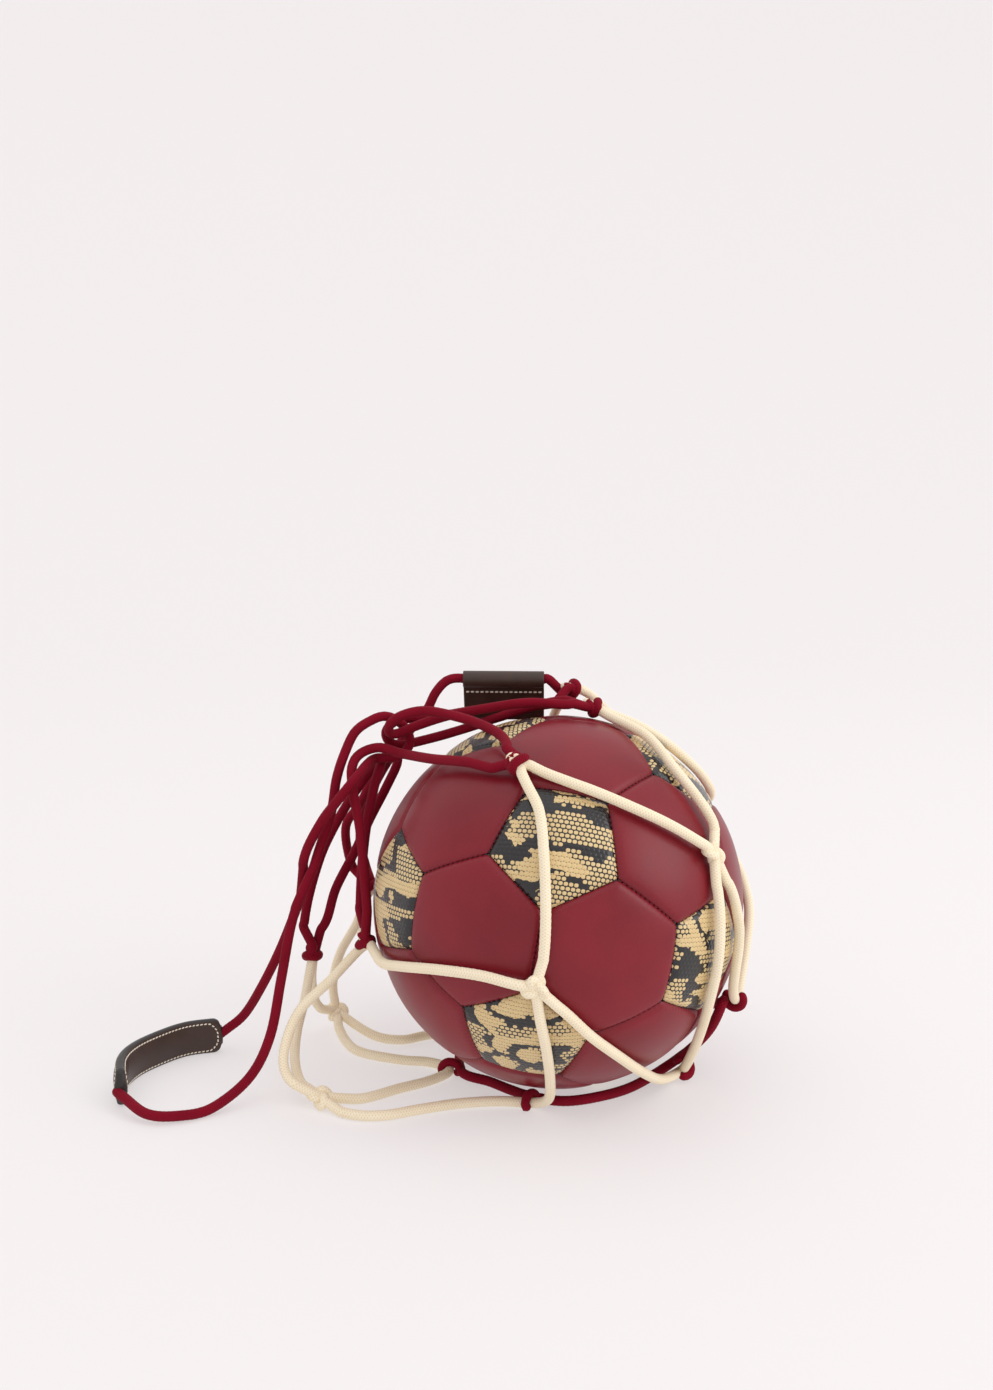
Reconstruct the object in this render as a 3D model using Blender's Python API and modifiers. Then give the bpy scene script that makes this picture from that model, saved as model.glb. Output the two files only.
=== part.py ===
"""A stitched football in a knotted net carry bag, with a hand pad and a tag.

The origin is the ball's resting point on the floor: X to the right, Y to the back, Z up.
Driving dimensions are in metres. Cord routes are in millimetres, because they are set out by hand.
"""

import math

import bmesh
import bpy
import numpy as np
from mathutils import Matrix, Vector

OBJECT_NAME = "net_carry_ball"

# Ball, built outside in: cover panels, lining, bladder
BALL_RADIUS = 0.110
PANEL_THICKNESS = 0.0030
PANEL_EDGE_DROP = 0.0010
SEAM_GAP = 0.0006
PANEL_CUTS = 2
LINING_THICKNESS = 0.0012
BLADDER_THICKNESS = 0.0010
LAYER_GAP = 0.0010
SHELL_STEPS = 24
SHELL_ARC_POINTS = 12
REST_SINK = 0.0010
FLOOR_DEPTH = 0.010
# The ways from the ball's centre to the middle of its front five-sided panel and of the one above that
FRONT_PENTAGON = (-0.003, -0.831, 0.556)
UPPER_PENTAGON = (-0.381, 0.079, 0.921)

# Valve
VALVE_BORE_RADIUS = 0.0022
VALVE_BODY_RADIUS = 0.0055
VALVE_FLANGE_RADIUS = 0.0120
VALVE_FLANGE_THICKNESS = 0.0015
VALVE_BODY_LENGTH = 0.0160
VALVE_TOP_DEPTH = 0.0006
VALVE_GAP = 0.0005
VALVE_AZIMUTH = math.radians(118)

# Cord
CORD_DIAMETER = 0.006
KNOT_RADIUS = 0.0068
HITCH_LIFT = 0.6
CORD_GAP = 0.0005
CORD_SIDES_RESOLUTION = 2
LONGEST_FACET = 0.018
LARGEST_TURN = math.radians(18)
SETTLE_STEP = 0.004
SETTLE_ROUNDS = 200
SETTLE_PUSH = 0.3
SETTLE_SLACK = 0.0006
BALL_SLACK = 0.0002
FLOOR_SLACK = 0.00002
PAIR_ROUNDS = 20
PAIR_REACH = 3.5
NEIGHBOUR_SPAN = 3.5

# Hand pad, a folded leather strip standing on its edge
PAD_HEIGHT = 0.022
PAD_THICKNESS = 0.0085
PAD_END_CUT = 0.005

# Tag, folded round one of the top cords
TAG_WIDTH = 0.050
TAG_SLEEVE_RADIUS = 0.0052
TAG_SLEEVE_CLEARANCE = 0.0010
TAG_FLAP_LENGTH = 0.024
TAG_FLAP_THICKNESS = 0.0026
TAG_LEAN = math.radians(25)
TAG_CORD = 4

CLOSED_CORD = "base_ring"

MM = 0.001

# Where the net is knotted, in millimetres, in order round the ball.
BASE_HITCHES = [(-14, -46, 4), (68, -6, 6), (97, -30, 58), (42, 62, 12), (-38, 56, 4), (-57, -13, 4)]
MESH_KNOTS = [(-10, -112, 97), (85, -61, 153), (84, 66, 146), (-14, 112, 120), (-144, 62, 7), (-134, -58, 7)]
NECK_BIGHTS = [(-19, -63, 202), (24, 19, 219), (12, 53, 228), (-120, 62, 92), (-151, 14, 62), (-112, -20, 85)]

BASE_RING = [
    BASE_HITCHES[5], (-39, -25, 3), (-26, -36, 3), BASE_HITCHES[0], (5, -49, 3), (26, -42, 3), (46, -28, 3),
    BASE_HITCHES[1], (81, -16, 22), (91, -26, 40), BASE_HITCHES[2], (100, 4, 44), (78, 44, 22),
    BASE_HITCHES[3], (4, 66, 3), BASE_HITCHES[4], (-58, 28, 3),
]

# Each lower cord runs from one mesh knot, round a base hitch, to the next mesh knot.
LOWER_CORDS = [
    [MESH_KNOTS[5], (-117, -68, 3), (-98, -70, 3), (-77, -62, 3), (-55, -54, 3), (-32, -50, 3),
     (-13, -53, 4), (-4, -64, 12), (-3, -84, 34), (-5, -102, 60), (-8, -110, 80), MESH_KNOTS[0]],
    [MESH_KNOTS[0], (4, -110, 84), (18, -104, 68), (34, -90, 50), (48, -70, 32), (61, -40, 14),
     (74, -10, 6), (78, -22, 18), (81, -45, 42), (84, -64, 70), (88, -71, 96), (89, -71, 119),
     (88, -66, 137), MESH_KNOTS[1]],
    [MESH_KNOTS[1], (95, -57, 137), (101, -51, 115), (102, -48, 99), (101, -45, 84), (101, -37, 68),
     (104, -26, 58), (108, -16, 68), (112, -6, 84), (115, 8, 103), (110, 26, 122), (98, 48, 138),
     MESH_KNOTS[2]],
    [MESH_KNOTS[2], (96, 80, 110), (88, 84, 70), (66, 76, 30), (44, 69, 12), (32, 82, 30), (14, 102, 66),
     (-4, 112, 98), MESH_KNOTS[3]],
    [MESH_KNOTS[3], (-28, 110, 92), (-36, 98, 56), (-40, 78, 22), (-42, 63, 5), (-60, 52, 3),
     (-85, 41, 3), (-99, 34, 3), (-118, 40, 3), MESH_KNOTS[4]],
    [MESH_KNOTS[4], (-134, 34, 3), (-122, 15, 3), (-96, 4, 3), (-77, 1, 3), (-64, -12, 4), (-75, -25, 3),
     (-94, -38, 3), (-114, -52, 3), MESH_KNOTS[5]],
]

# Each upper cord runs from one mesh knot, up over a neck bight, to the next mesh knot.
UPPER_CORDS = [
    [MESH_KNOTS[0], (-7, -113, 113), (-6, -110, 136), (-7, -100, 163), (-10, -85, 185), NECK_BIGHTS[0],
     (11, -73, 196), (39, -76, 185), (62, -72, 172), MESH_KNOTS[1]],
    [MESH_KNOTS[1], (87, -50, 165), (80, -44, 178), (66, -32, 195), (50, -10, 211), NECK_BIGHTS[1],
     (42, 24, 213), (60, 26, 203), (76, 28, 190), (88, 36, 176), (94, 52, 160), MESH_KNOTS[2]],
    [MESH_KNOTS[2], (68, 80, 172), (38, 78, 202), NECK_BIGHTS[2], (-2, 76, 210), (-10, 98, 172), MESH_KNOTS[3]],
    [MESH_KNOTS[3], (-50, 104, 122), (-86, 84, 116), NECK_BIGHTS[3], (-131, 64, 69), (-142, 66, 48),
     (-147, 66, 26), MESH_KNOTS[4]],
    [MESH_KNOTS[4], (-153, 50, 20), (-154, 32, 42), NECK_BIGHTS[4], (-154, 2, 42), (-156, -14, 29),
     (-154, -34, 18), (-147, -50, 10), MESH_KNOTS[5]],
    [MESH_KNOTS[5], (-150, -54, 14), (-155, -50, 29), (-149, -42, 51), (-132, -34, 68), NECK_BIGHTS[5],
     (-98, -55, 88), (-87, -71, 92), (-63, -94, 99), (-40, -106, 101), (-23, -111, 99), MESH_KNOTS[0]],
]

# Each top cord runs from one neck bight, through the gather at the upper left, to the neighbouring bight.
TOP_CORDS = [
    [NECK_BIGHTS[0], (-32, -58, 204), (-49, -47, 204), (-71, -26, 200), (-91, 0, 197), (-107, 8, 199),
     (-119, 2, 193), (-119, -8, 177), (-115, -14, 157), (-112, -18, 128), (-110, -22, 102), NECK_BIGHTS[5]],
    [NECK_BIGHTS[5], (-116, -16, 104), (-116, -6, 129), (-114, 2, 153), (-110, 12, 176), (-107, 20, 188),
     (-115, 28, 180), (-127, 26, 163), (-138, 24, 144), (-146, 22, 126), (-153, 20, 101), (-156, 18, 80),
     NECK_BIGHTS[4]],
    [NECK_BIGHTS[4], (-146, 22, 84), (-139, 26, 104), (-127, 32, 126), (-116, 36, 149), (-106, 38, 168),
     (-99, 42, 184), (-105, 50, 188), (-116, 56, 170), (-126, 60, 151), (-136, 64, 135), (-134, 66, 112),
     NECK_BIGHTS[3]],
    [NECK_BIGHTS[3], (-126, 72, 100), (-130, 76, 124), (-119, 68, 159), (-102, 54, 189), (-89, 46, 206),
     (-81, 46, 216), (-76, 47, 226), (-67, 49, 234),
     (-50, 49, 234), (-18, 49, 234), (-3, 49, 234), NECK_BIGHTS[2]],
    [NECK_BIGHTS[2], (0, 42, 224), (-11, 36, 221), (-29, 32, 219), (-54, 30, 216), (-78, 27, 213),
     (-97, 26, 212), (-105, 26, 204), (-99, 30, 196), (-78, 34, 200), (-54, 36, 208), (-32, 30, 218),
     (-5, 26, 225), (13, 22, 226), NECK_BIGHTS[1]],
    [NECK_BIGHTS[1], (7, 10, 226), (-17, 8, 227), (-41, 11, 223), (-65, 14, 218), (-86, 16, 211),
     (-99, 15, 206), (-101, 8, 212), (-94, 3, 219), (-80, 0, 223), (-63, -8, 222), (-45, -20, 219),
     (-31, -38, 215), NECK_BIGHTS[0]],
]

# The carry cord comes up from one fold, round the gather and down to the other; the loop folds at those two.
CARRY_FOLDS = [(-151, -19, 117), (-151, -10, 117)]
CARRY_HITCH = [CARRY_FOLDS[0], (-144, -9, 138), (-136, -2, 160), (-132, 1, 181), (-127, 4, 196), (-121, 8, 208),
               (-112, 12, 214), (-104, 15, 216), (-96, 18, 212), (-91, 21, 204), (-91, 22, 196), (-98, 20, 190),
               (-106, 15, 190), (-112, 12, 190), (-117, 0, 187), (-122, -14, 181), (-130, -16, 170),
               (-138, -14, 158), (-147, -14, 138), CARRY_FOLDS[1]]
CARRY_CORD_NEAR = [CARRY_FOLDS[0], (-156, -25, 98), (-161, -34, 68), (-166, -46, 38), (-178, -50, 14),
                   (-196, -68, 3), (-212, -78, 3), (-230, -80, 5), (-248, -66, 9)]
CARRY_CORD_FAR = [CARRY_FOLDS[1], (-158, -4, 99), (-169, 4, 73), (-182, 11, 47), (-196, 20, 24), (-209, 19, 13)]
PAD_ROUTE = [(-211, 19), (-231, 11), (-245, -5), (-254, -22), (-256, -40), (-250, -62)]
TAG_MIDDLE = (-34, 49, 234)

COLOURS = {
    "dark_red_leather": ((0.215, 0.017, 0.030, 1.0), 0.42),
    "snake_print_leather": ((0.560, 0.440, 0.200, 1.0), 0.40),
    "lining_cloth": ((0.600, 0.580, 0.520, 1.0), 0.85),
    "bladder_rubber": ((0.030, 0.028, 0.026, 1.0), 0.55),
    "valve_rubber": ((0.050, 0.048, 0.045, 1.0), 0.50),
    "natural_cord": ((0.840, 0.720, 0.520, 1.0), 0.85),
    "dark_red_cord": ((0.190, 0.004, 0.018, 1.0), 0.80),
    "brown_leather": ((0.048, 0.028, 0.022, 1.0), 0.48),
}

CORD_RADIUS = CORD_DIAMETER / 2
BALL_CENTRE = Vector((0.0, 0.0, BALL_RADIUS - REST_SINK))


def clear_scene():
    for obj in list(bpy.data.objects):
        bpy.data.objects.remove(obj)


def add_collection(name):
    collection = bpy.data.collections.new(name)
    bpy.context.scene.collection.children.link(collection)
    return collection


def make_materials():
    made = {}
    for name, (colour, roughness) in COLOURS.items():
        material = bpy.data.materials.new(name)
        material.use_nodes = True
        shader = material.node_tree.nodes["Principled BSDF"]
        shader.inputs["Base Color"].default_value = colour
        shader.inputs["Roughness"].default_value = roughness
        shader.inputs["Metallic"].default_value = 0.0
        made[name] = material
    return made


def add_object(name, data, collection, material=None):
    obj = bpy.data.objects.new(name, data)
    collection.objects.link(obj)
    if material:
        data.materials.append(material)
    return obj


def mesh_from(bm, name):
    mesh = bpy.data.meshes.new(name)
    bm.to_mesh(mesh)
    bm.free()
    return mesh


def settings(modifier, **values):
    for key, value in values.items():
        setattr(modifier, key, value)
    return modifier


# ---- ball ----


def ball_faces():
    """The 12 five-sided and 20 six-sided faces of the cut-cornered icosahedron, as lists of unit corners."""
    bm = bmesh.new()
    bmesh.ops.create_icosphere(bm, subdivisions=1, radius=1.0)
    bm.edges.ensure_lookup_table()
    edge = bm.edges[0].calc_length()
    bmesh.ops.bevel(bm, geom=bm.verts[:], offset=edge / 3, affect="VERTICES", segments=1, profile=0.5)
    faces = {5: [], 6: []}
    for face in bm.faces:
        faces[len(face.verts)].append([corner.co.normalized() for corner in face.verts])
    bm.free()
    for group in faces.values():
        group.sort(key=lambda corners: tuple(round(-value, 3) for value in sum(corners, Vector()).zyx))
    return faces[5], faces[6]


def ball_turn():
    """The turn that brings the pattern's top pentagon to the front one, and its neighbour to the upper one."""
    bm = bmesh.new()
    bmesh.ops.create_icosphere(bm, subdivisions=1, radius=1.0)
    top = max((vert.co.copy() for vert in bm.verts), key=lambda co: co.z)
    neighbour = max((vert.co.copy() for vert in bm.verts if vert.co.z < 0.9), key=lambda co: (round(co.z, 3), co.x))
    bm.free()
    return frame_of(Vector(FRONT_PENTAGON), Vector(UPPER_PENTAGON)) @ frame_of(top, neighbour).transposed()


def frame_of(main, other):
    """A turn whose Z is the first way and whose X leans to the second."""
    z = main.normalized()
    x = (other - z * (other @ z)).normalized()
    return Matrix((x, z.cross(x), z)).transposed()


def panel_mesh(corners, name):
    """One cover panel, domed on the ball's sphere and lower along its edges, as an open sheet."""
    middle = sum(corners, Vector()) / len(corners)
    apothem = min(((a + b) / 2 - middle).length for a, b in zip(corners, corners[1:] + corners[:1]))
    shrink = 1 - SEAM_GAP / 2 / (BALL_RADIUS * apothem)
    bm = bmesh.new()
    face = bm.faces.new([bm.verts.new(middle + (corner - middle) * shrink) for corner in corners])
    bmesh.ops.poke(bm, faces=[face])
    bmesh.ops.subdivide_edges(bm, edges=bm.edges[:], cuts=PANEL_CUTS, use_grid_fill=True)
    border = [vert for vert in bm.verts if vert.is_boundary]
    for vert in bm.verts:
        inner = 0.0 if vert in border else min((vert.co - other.co).length for other in border) / apothem
        drop = PANEL_EDGE_DROP * (1 - min(1.0, inner)) ** 3
        vert.co = vert.co.normalized() * (BALL_RADIUS - drop)
    bmesh.ops.recalc_face_normals(bm, faces=bm.faces)
    if sum((face.normal @ face.calc_center_median() for face in bm.faces)) < 0:
        bmesh.ops.reverse_faces(bm, faces=bm.faces)
    return mesh_from(bm, name)


def add_panels(collection, cutters, materials, pivot):
    pentagons, hexagons = ball_faces()
    floor = add_floor_cutter(cutters)
    panels = []
    for kind, faces, look in (
        ("pentagon", pentagons, "snake_print_leather"),
        ("hexagon", hexagons, "dark_red_leather"),
    ):
        for number, corners in enumerate(faces, 1):
            name = f"{kind}_panel_{number:02d}"
            panel = add_object(name, panel_mesh(corners, name), collection, materials[look])
            panel.parent = pivot
            settings(
                panel.modifiers.new("thickness", "SOLIDIFY"),
                thickness=PANEL_THICKNESS,
                offset=-1.0,
                use_even_offset=False,
            )
            panels.append(panel)
    bpy.context.view_layer.update()
    valve_hexagon = min(
        (panel for panel in panels if panel.name.startswith("hexagon")),
        key=lambda panel: -(panel_direction(panel) @ valve_direction()),
    )
    for panel in panels:
        lowest = min((panel.matrix_world @ vert.co).z for vert in panel.data.vertices)
        if lowest < REST_SINK:
            panel.modifiers.new("rest_flat", "BOOLEAN").object = floor
    return valve_hexagon


def panel_direction(panel):
    """The way from the ball's centre to the middle of a panel."""
    points = [panel.matrix_world @ vert.co for vert in panel.data.vertices]
    return (sum(points, Vector()) / len(points) - BALL_CENTRE).normalized()


def valve_direction():
    return Vector((math.cos(VALVE_AZIMUTH), math.sin(VALVE_AZIMUTH), 0.35)).normalized()


def add_floor_cutter(cutters):
    bm = bmesh.new()
    bmesh.ops.create_cube(bm, size=1.0)
    cutter = add_object("floor_cutter", mesh_from(bm, "floor_cutter"), cutters)
    cutter.scale = (4 * BALL_RADIUS, 4 * BALL_RADIUS, FLOOR_DEPTH)
    cutter.location = (0.0, 0.0, -FLOOR_DEPTH / 2)
    settings(cutter, hide_render=True, display_type="WIRE")
    return cutter


def turned(name, outline, collection, material, steps):
    """A closed outline of (radius, height) points turned about Z; it runs down its outer side."""
    bm = bmesh.new()
    points = [bm.verts.new((radius, 0.0, height)) for radius, height in outline]
    for first, second in zip(points, points[1:]):
        bm.edges.new((first, second))
    if outline[0][0] > 0:
        bm.edges.new((points[-1], points[0]))
    obj = add_object(name, mesh_from(bm, name), collection, material)
    settings(
        obj.modifiers.new("turn", "SCREW"),
        steps=steps,
        render_steps=steps,
        use_merge_vertices=True,
        merge_threshold=0.00001,
    )
    return obj


def shell_outline(outer, thickness, hole):
    """A hollow ball's wall, cut away round the top inside the hole's radius."""
    inner = outer - thickness
    points = []
    for radius, order in ((outer, 1), (inner, -1)):
        start = math.asin(hole / radius)
        angles = [start + (math.pi - start) * k / SHELL_ARC_POINTS for k in range(SHELL_ARC_POINTS + 1)]
        arc = [(radius * math.sin(a) if a < math.pi else 0.0, radius * math.cos(a)) for a in angles]
        points.append(arc[::order])
    return points[0], points[1]


def add_shell(name, outer, thickness, hole, collection, material):
    """The wall's outer and inner arcs both end on the axis, so the outline is open there."""
    outer_arc, inner_arc = shell_outline(outer, thickness, hole)
    bm = bmesh.new()
    points = [bm.verts.new((radius, 0.0, height)) for radius, height in inner_arc + outer_arc]
    for first, second in zip(points, points[1:]):
        bm.edges.new((first, second))
    obj = add_object(name, mesh_from(bm, name), collection, material)
    settings(
        obj.modifiers.new("turn", "SCREW"),
        steps=SHELL_STEPS,
        render_steps=SHELL_STEPS,
        use_merge_vertices=True,
        merge_threshold=0.00001,
    )
    return obj


def add_ball(collection, cutters, materials):
    pivot = bpy.data.objects.new("ball_centre", None)
    collection.objects.link(pivot)
    pivot.matrix_world = Matrix.Translation(BALL_CENTRE) @ ball_turn().to_4x4()
    bpy.context.view_layer.update()
    hexagon = add_panels(collection, cutters, materials, pivot)
    axis = panel_direction(hexagon)
    turn = axis.to_track_quat("Z", "Y")

    lining_outer = BALL_RADIUS - PANEL_EDGE_DROP - PANEL_THICKNESS - LAYER_GAP
    lining_hole = VALVE_BODY_RADIUS + VALVE_GAP
    lining = add_shell("lining", lining_outer, LINING_THICKNESS, lining_hole, collection, materials["lining_cloth"])
    bladder_outer = lining_outer - LINING_THICKNESS - VALVE_FLANGE_THICKNESS - 3 * LAYER_GAP
    bladder = add_shell(
        "bladder", bladder_outer, BLADDER_THICKNESS, lining_hole, collection, materials["bladder_rubber"]
    )

    top = BALL_RADIUS - VALVE_TOP_DEPTH
    flange_top = bladder_outer + LAYER_GAP / 2 + VALVE_FLANGE_THICKNESS
    flange_bottom = flange_top - VALVE_FLANGE_THICKNESS
    bottom = top - VALVE_BODY_LENGTH
    body = turned(
        "valve_body",
        [
            (VALVE_BORE_RADIUS, top),
            (VALVE_BODY_RADIUS - VALVE_GAP, top),
            (VALVE_BODY_RADIUS, top - VALVE_GAP),
            (VALVE_BODY_RADIUS, flange_top),
            (VALVE_FLANGE_RADIUS, flange_top),
            (VALVE_FLANGE_RADIUS, flange_bottom),
            (VALVE_BODY_RADIUS, flange_bottom),
            (VALVE_BODY_RADIUS, bottom),
            (VALVE_BORE_RADIUS, bottom),
        ],
        collection,
        materials["valve_rubber"],
        24,
    )
    core_radius = VALVE_BORE_RADIUS - VALVE_GAP
    core = turned(
        "valve_core",
        [(0.0, top - VALVE_GAP), (core_radius, top - VALVE_GAP), (core_radius, bottom), (0.0, bottom)],
        collection,
        materials["valve_rubber"],
        16,
    )
    for obj in (lining, bladder, body, core):
        obj.rotation_mode = "QUATERNION"
        obj.rotation_quaternion = turn
        obj.location = BALL_CENTRE

    bm = bmesh.new()
    radius = VALVE_BODY_RADIUS + VALVE_GAP
    bmesh.ops.create_cone(bm, cap_ends=True, segments=24, radius1=radius, radius2=radius, depth=0.02)
    cutter = add_object("valve_hole_cutter", mesh_from(bm, "valve_hole_cutter"), cutters)
    settings(cutter, hide_render=True, display_type="WIRE", rotation_mode="QUATERNION")
    cutter.rotation_quaternion = turn
    cutter.location = BALL_CENTRE + axis * BALL_RADIUS
    hexagon.modifiers.new("valve_hole", "BOOLEAN").object = cutter


# ---- cords ----


def smooth(route, step, closed=False):
    """A Catmull-Rom curve through the route's points, in metres, read off at even steps."""
    points = np.array(route, float) * MM
    if closed:
        points = np.vstack([points[-1:], points, points[:2]])
    else:
        points = np.vstack([2 * points[0] - points[1], points, 2 * points[-1] - points[-2]])
    t = np.linspace(0, 1, 25)[:-1, None]
    runs = []
    for p0, p1, p2, p3 in zip(points, points[1:], points[2:], points[3:]):
        runs.append(
            0.5 * (2 * p1 + (p2 - p0) * t + (2 * p0 - 5 * p1 + 4 * p2 - p3) * t**2
                   + (3 * p1 - p0 - 3 * p2 + p3) * t**3)
        )
    runs.append(points[-2:-1])
    return spaced(np.vstack(runs), step)


def spaced(path, step):
    """The path read off again at even steps near the one asked for."""
    along = np.concatenate([[0], np.cumsum(np.linalg.norm(np.diff(path, axis=0), axis=1))])
    count = max(2, int(round(along[-1] / step)) + 1)
    marks = np.linspace(0, along[-1], count)
    return np.stack([np.interp(marks, along, path[:, axis]) for axis in range(3)], axis=1)


def trimmed(path, start, end):
    """The path with a length taken off each end. A negative length carries it on straight."""
    if start < 0:
        away = path[0] - path[1]
        path = np.vstack([path[0] - away / np.linalg.norm(away) * start, path])
        start = 0
    if end < 0:
        away = path[-1] - path[-2]
        path = np.vstack([path, path[-1] - away / np.linalg.norm(away) * end])
        end = 0
    along = np.concatenate([[0], np.cumsum(np.linalg.norm(np.diff(path, axis=0), axis=1))])
    marks = np.linspace(start, along[-1] - end, max(3, int(round((along[-1] - start - end) / SETTLE_STEP)) + 1))
    return np.stack([np.interp(marks, along, path[:, axis]) for axis in range(3)], axis=1)


def net_cords():
    """Every cord by name: its path, the radius at each point, and whether each point is held still."""
    cords = {}

    def add(name, route, start=0.0, end=0.0, knot=False, closed=False, held=None):
        path = trimmed(smooth(route, SETTLE_STEP, closed), start, end)
        if closed:
            path = path[:-1]
        radius = np.full(len(path), CORD_RADIUS)
        if knot:
            centre = np.array(route[-1]) * MM
            away = np.linalg.norm(path - centre, axis=1)
            bulge = np.sqrt(np.maximum(KNOT_RADIUS**2 - away**2, 0))
            radius = np.maximum(radius, bulge)
        still = np.zeros(len(path), bool)
        if held is not None:
            still = (path[:, 0] > held[0]) & (path[:, 0] < held[1])
        cords[name] = [path, radius, still]

    meet = KNOT_RADIUS + CORD_GAP
    past = -KNOT_RADIUS
    for number, route in enumerate(UPPER_CORDS, 1):
        add(f"upper_cord_{number}", route, start=meet, end=past, knot=True)
    for number, route in enumerate(LOWER_CORDS, 1):
        add(f"lower_cord_{number}", route, start=meet, end=meet)
    reach = TAG_WIDTH / 2 + CORD_DIAMETER / 2
    sleeve = (TAG_MIDDLE[0] * MM - reach, TAG_MIDDLE[0] * MM + reach)
    hitches = {bight: hitch_place(bight) for bight in NECK_BIGHTS}
    for number, route in enumerate(TOP_CORDS, 1):
        line = [hitches[route[0]], *route[1:-1], hitches[route[-1]]]
        held = sleeve if number == TAG_CORD else None
        add(f"top_cord_{number}", line, start=meet, end=past, knot=True, held=held)
    add(CLOSED_CORD, BASE_RING, closed=True)
    half_gap = CORD_GAP / 2
    add("carry_hitch", CARRY_HITCH, start=half_gap, end=half_gap)
    add("carry_cord_near", CARRY_CORD_NEAR, start=half_gap, end=CORD_GAP)
    add("carry_cord_far", CARRY_CORD_FAR, start=half_gap, end=CORD_GAP)
    return cords


def hitch_place(bight):
    """Clear of the bight that the hitch holds, out from the ball and towards the two top cords that come to it."""
    bight_at = np.array(bight, float)
    out = bight_at - np.array(BALL_CENTRE) / MM
    way = HITCH_LIFT * out / np.linalg.norm(out)
    for route in TOP_CORDS:
        for end, following in ((route[0], route[1]), (route[-1], route[-2])):
            if end == bight:
                towards = np.array(following, float) - bight_at
                way = way + towards / np.linalg.norm(towards)
    return tuple(bight_at + way / np.linalg.norm(way) * (KNOT_RADIUS + CORD_RADIUS + 2 * CORD_GAP) / MM)


def settled(cords):
    """Moves the cords' points until no cord runs through another, the ball or the floor."""
    names = list(cords)
    sizes = [len(cords[name][0]) for name in names]
    start = np.vstack([cords[name][0] for name in names])
    radius = np.concatenate([cords[name][1] for name in names])
    free = ~np.concatenate([cords[name][2] for name in names])[:, None]
    owner = np.repeat(np.arange(len(names)), sizes)
    # Steps round a closed cord; far more than any cord has where it is open.
    closed = np.array([name == CLOSED_CORD for name in names])
    round_trip = np.where(closed, sizes, len(start) * 2)[owner][:, None]
    ends = np.flatnonzero(np.diff(owner))
    centre = np.array(BALL_CENTRE)
    moved = np.zeros_like(start)
    for turn in range(SETTLE_ROUNDS):
        place = start + moved
        if turn % PAIR_ROUNDS == 0:
            first, second = close_pairs(place, owner, round_trip)
        gaps = place[first] - place[second]
        away = np.linalg.norm(gaps, axis=1)
        short = np.maximum(radius[first] + radius[second] + CORD_GAP + SETTLE_SLACK - away, 0)
        push = gaps * (SETTLE_PUSH * short / away)[:, None]
        step = np.zeros_like(start)
        np.add.at(step, first, push)
        np.add.at(step, second, -push)
        moved += step * free
        if turn < SETTLE_ROUNDS - PAIR_ROUNDS:
            spread = moved.copy()
            spread[1:-1] = 0.25 * moved[:-2] + 0.5 * moved[1:-1] + 0.25 * moved[2:]
            spread[ends] = moved[ends]
            spread[ends + 1] = moved[ends + 1]
            moved = spread * free
        out = start + moved - centre
        far = np.linalg.norm(out, axis=1)
        least = BALL_RADIUS + radius + CORD_GAP + BALL_SLACK
        place = centre + out * np.maximum(1, least / far)[:, None]
        place[:, 2] = np.maximum(place[:, 2], radius + FLOOR_SLACK)
        moved = place - start
    placed = np.split(start + moved, np.cumsum(sizes)[:-1])
    return {name: (path, cords[name][1]) for name, path in zip(names, placed)}


def close_pairs(place, owner, round_trip):
    """Pairs of points that may come to touch: near each other, and not neighbours on one cord."""
    away = np.linalg.norm(place[:, None] - place, axis=2)
    index = np.arange(len(place))
    steps = abs(index[:, None] - index)
    steps = np.minimum(steps, abs(round_trip - steps))
    apart = (owner[:, None] != owner) | (steps * SETTLE_STEP > NEIGHBOUR_SPAN * CORD_DIAMETER)
    return np.nonzero(np.triu(apart & (away < PAIR_REACH * CORD_DIAMETER), 1))


def thinned(path, radius):
    """Keeps a point where the cord has turned or run on far enough, and wherever its radius changes."""
    keep = [0]
    turned_by = 0.0
    run = 0.0
    ways = np.diff(path, axis=0)
    lengths = np.linalg.norm(ways, axis=1)
    for i in range(1, len(path) - 1):
        cosine = ways[i - 1] @ ways[i] / (lengths[i - 1] * lengths[i])
        turned_by += math.acos(max(-1.0, min(1.0, cosine)))
        run += lengths[i - 1]
        knot = radius[i] > CORD_RADIUS * 1.001
        if knot or turned_by > LARGEST_TURN or run + lengths[i] > LONGEST_FACET:
            keep.append(i)
            turned_by, run = 0.0, 0.0
    keep.append(len(path) - 1)
    return path[keep], radius[keep]


def add_tube(name, path, radius, closed, collection, material):
    curve = bpy.data.curves.new(name, "CURVE")
    settings(curve, dimensions="3D", bevel_depth=CORD_RADIUS, bevel_resolution=CORD_SIDES_RESOLUTION,
             use_fill_caps=not closed, twist_mode="MINIMUM")
    spline = curve.splines.new("POLY")
    spline.points.add(len(path) - 1)
    spline.points.foreach_set("co", np.column_stack([path, np.ones(len(path))]).ravel())
    spline.points.foreach_set("radius", np.maximum(radius / CORD_RADIUS, 0.35))
    spline.use_cyclic_u = closed
    return add_object(name, curve, collection, material)


def add_cords(collection, materials):
    placed = settled(net_cords())
    for name, (path, radius) in placed.items():
        path, radius = thinned(path, radius)
        natural = name.startswith(("upper", "lower"))
        look = materials["natural_cord" if natural else "dark_red_cord"]
        add_tube(name, path, radius, name == CLOSED_CORD, collection, look)
    return placed


# ---- leather ----


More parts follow.
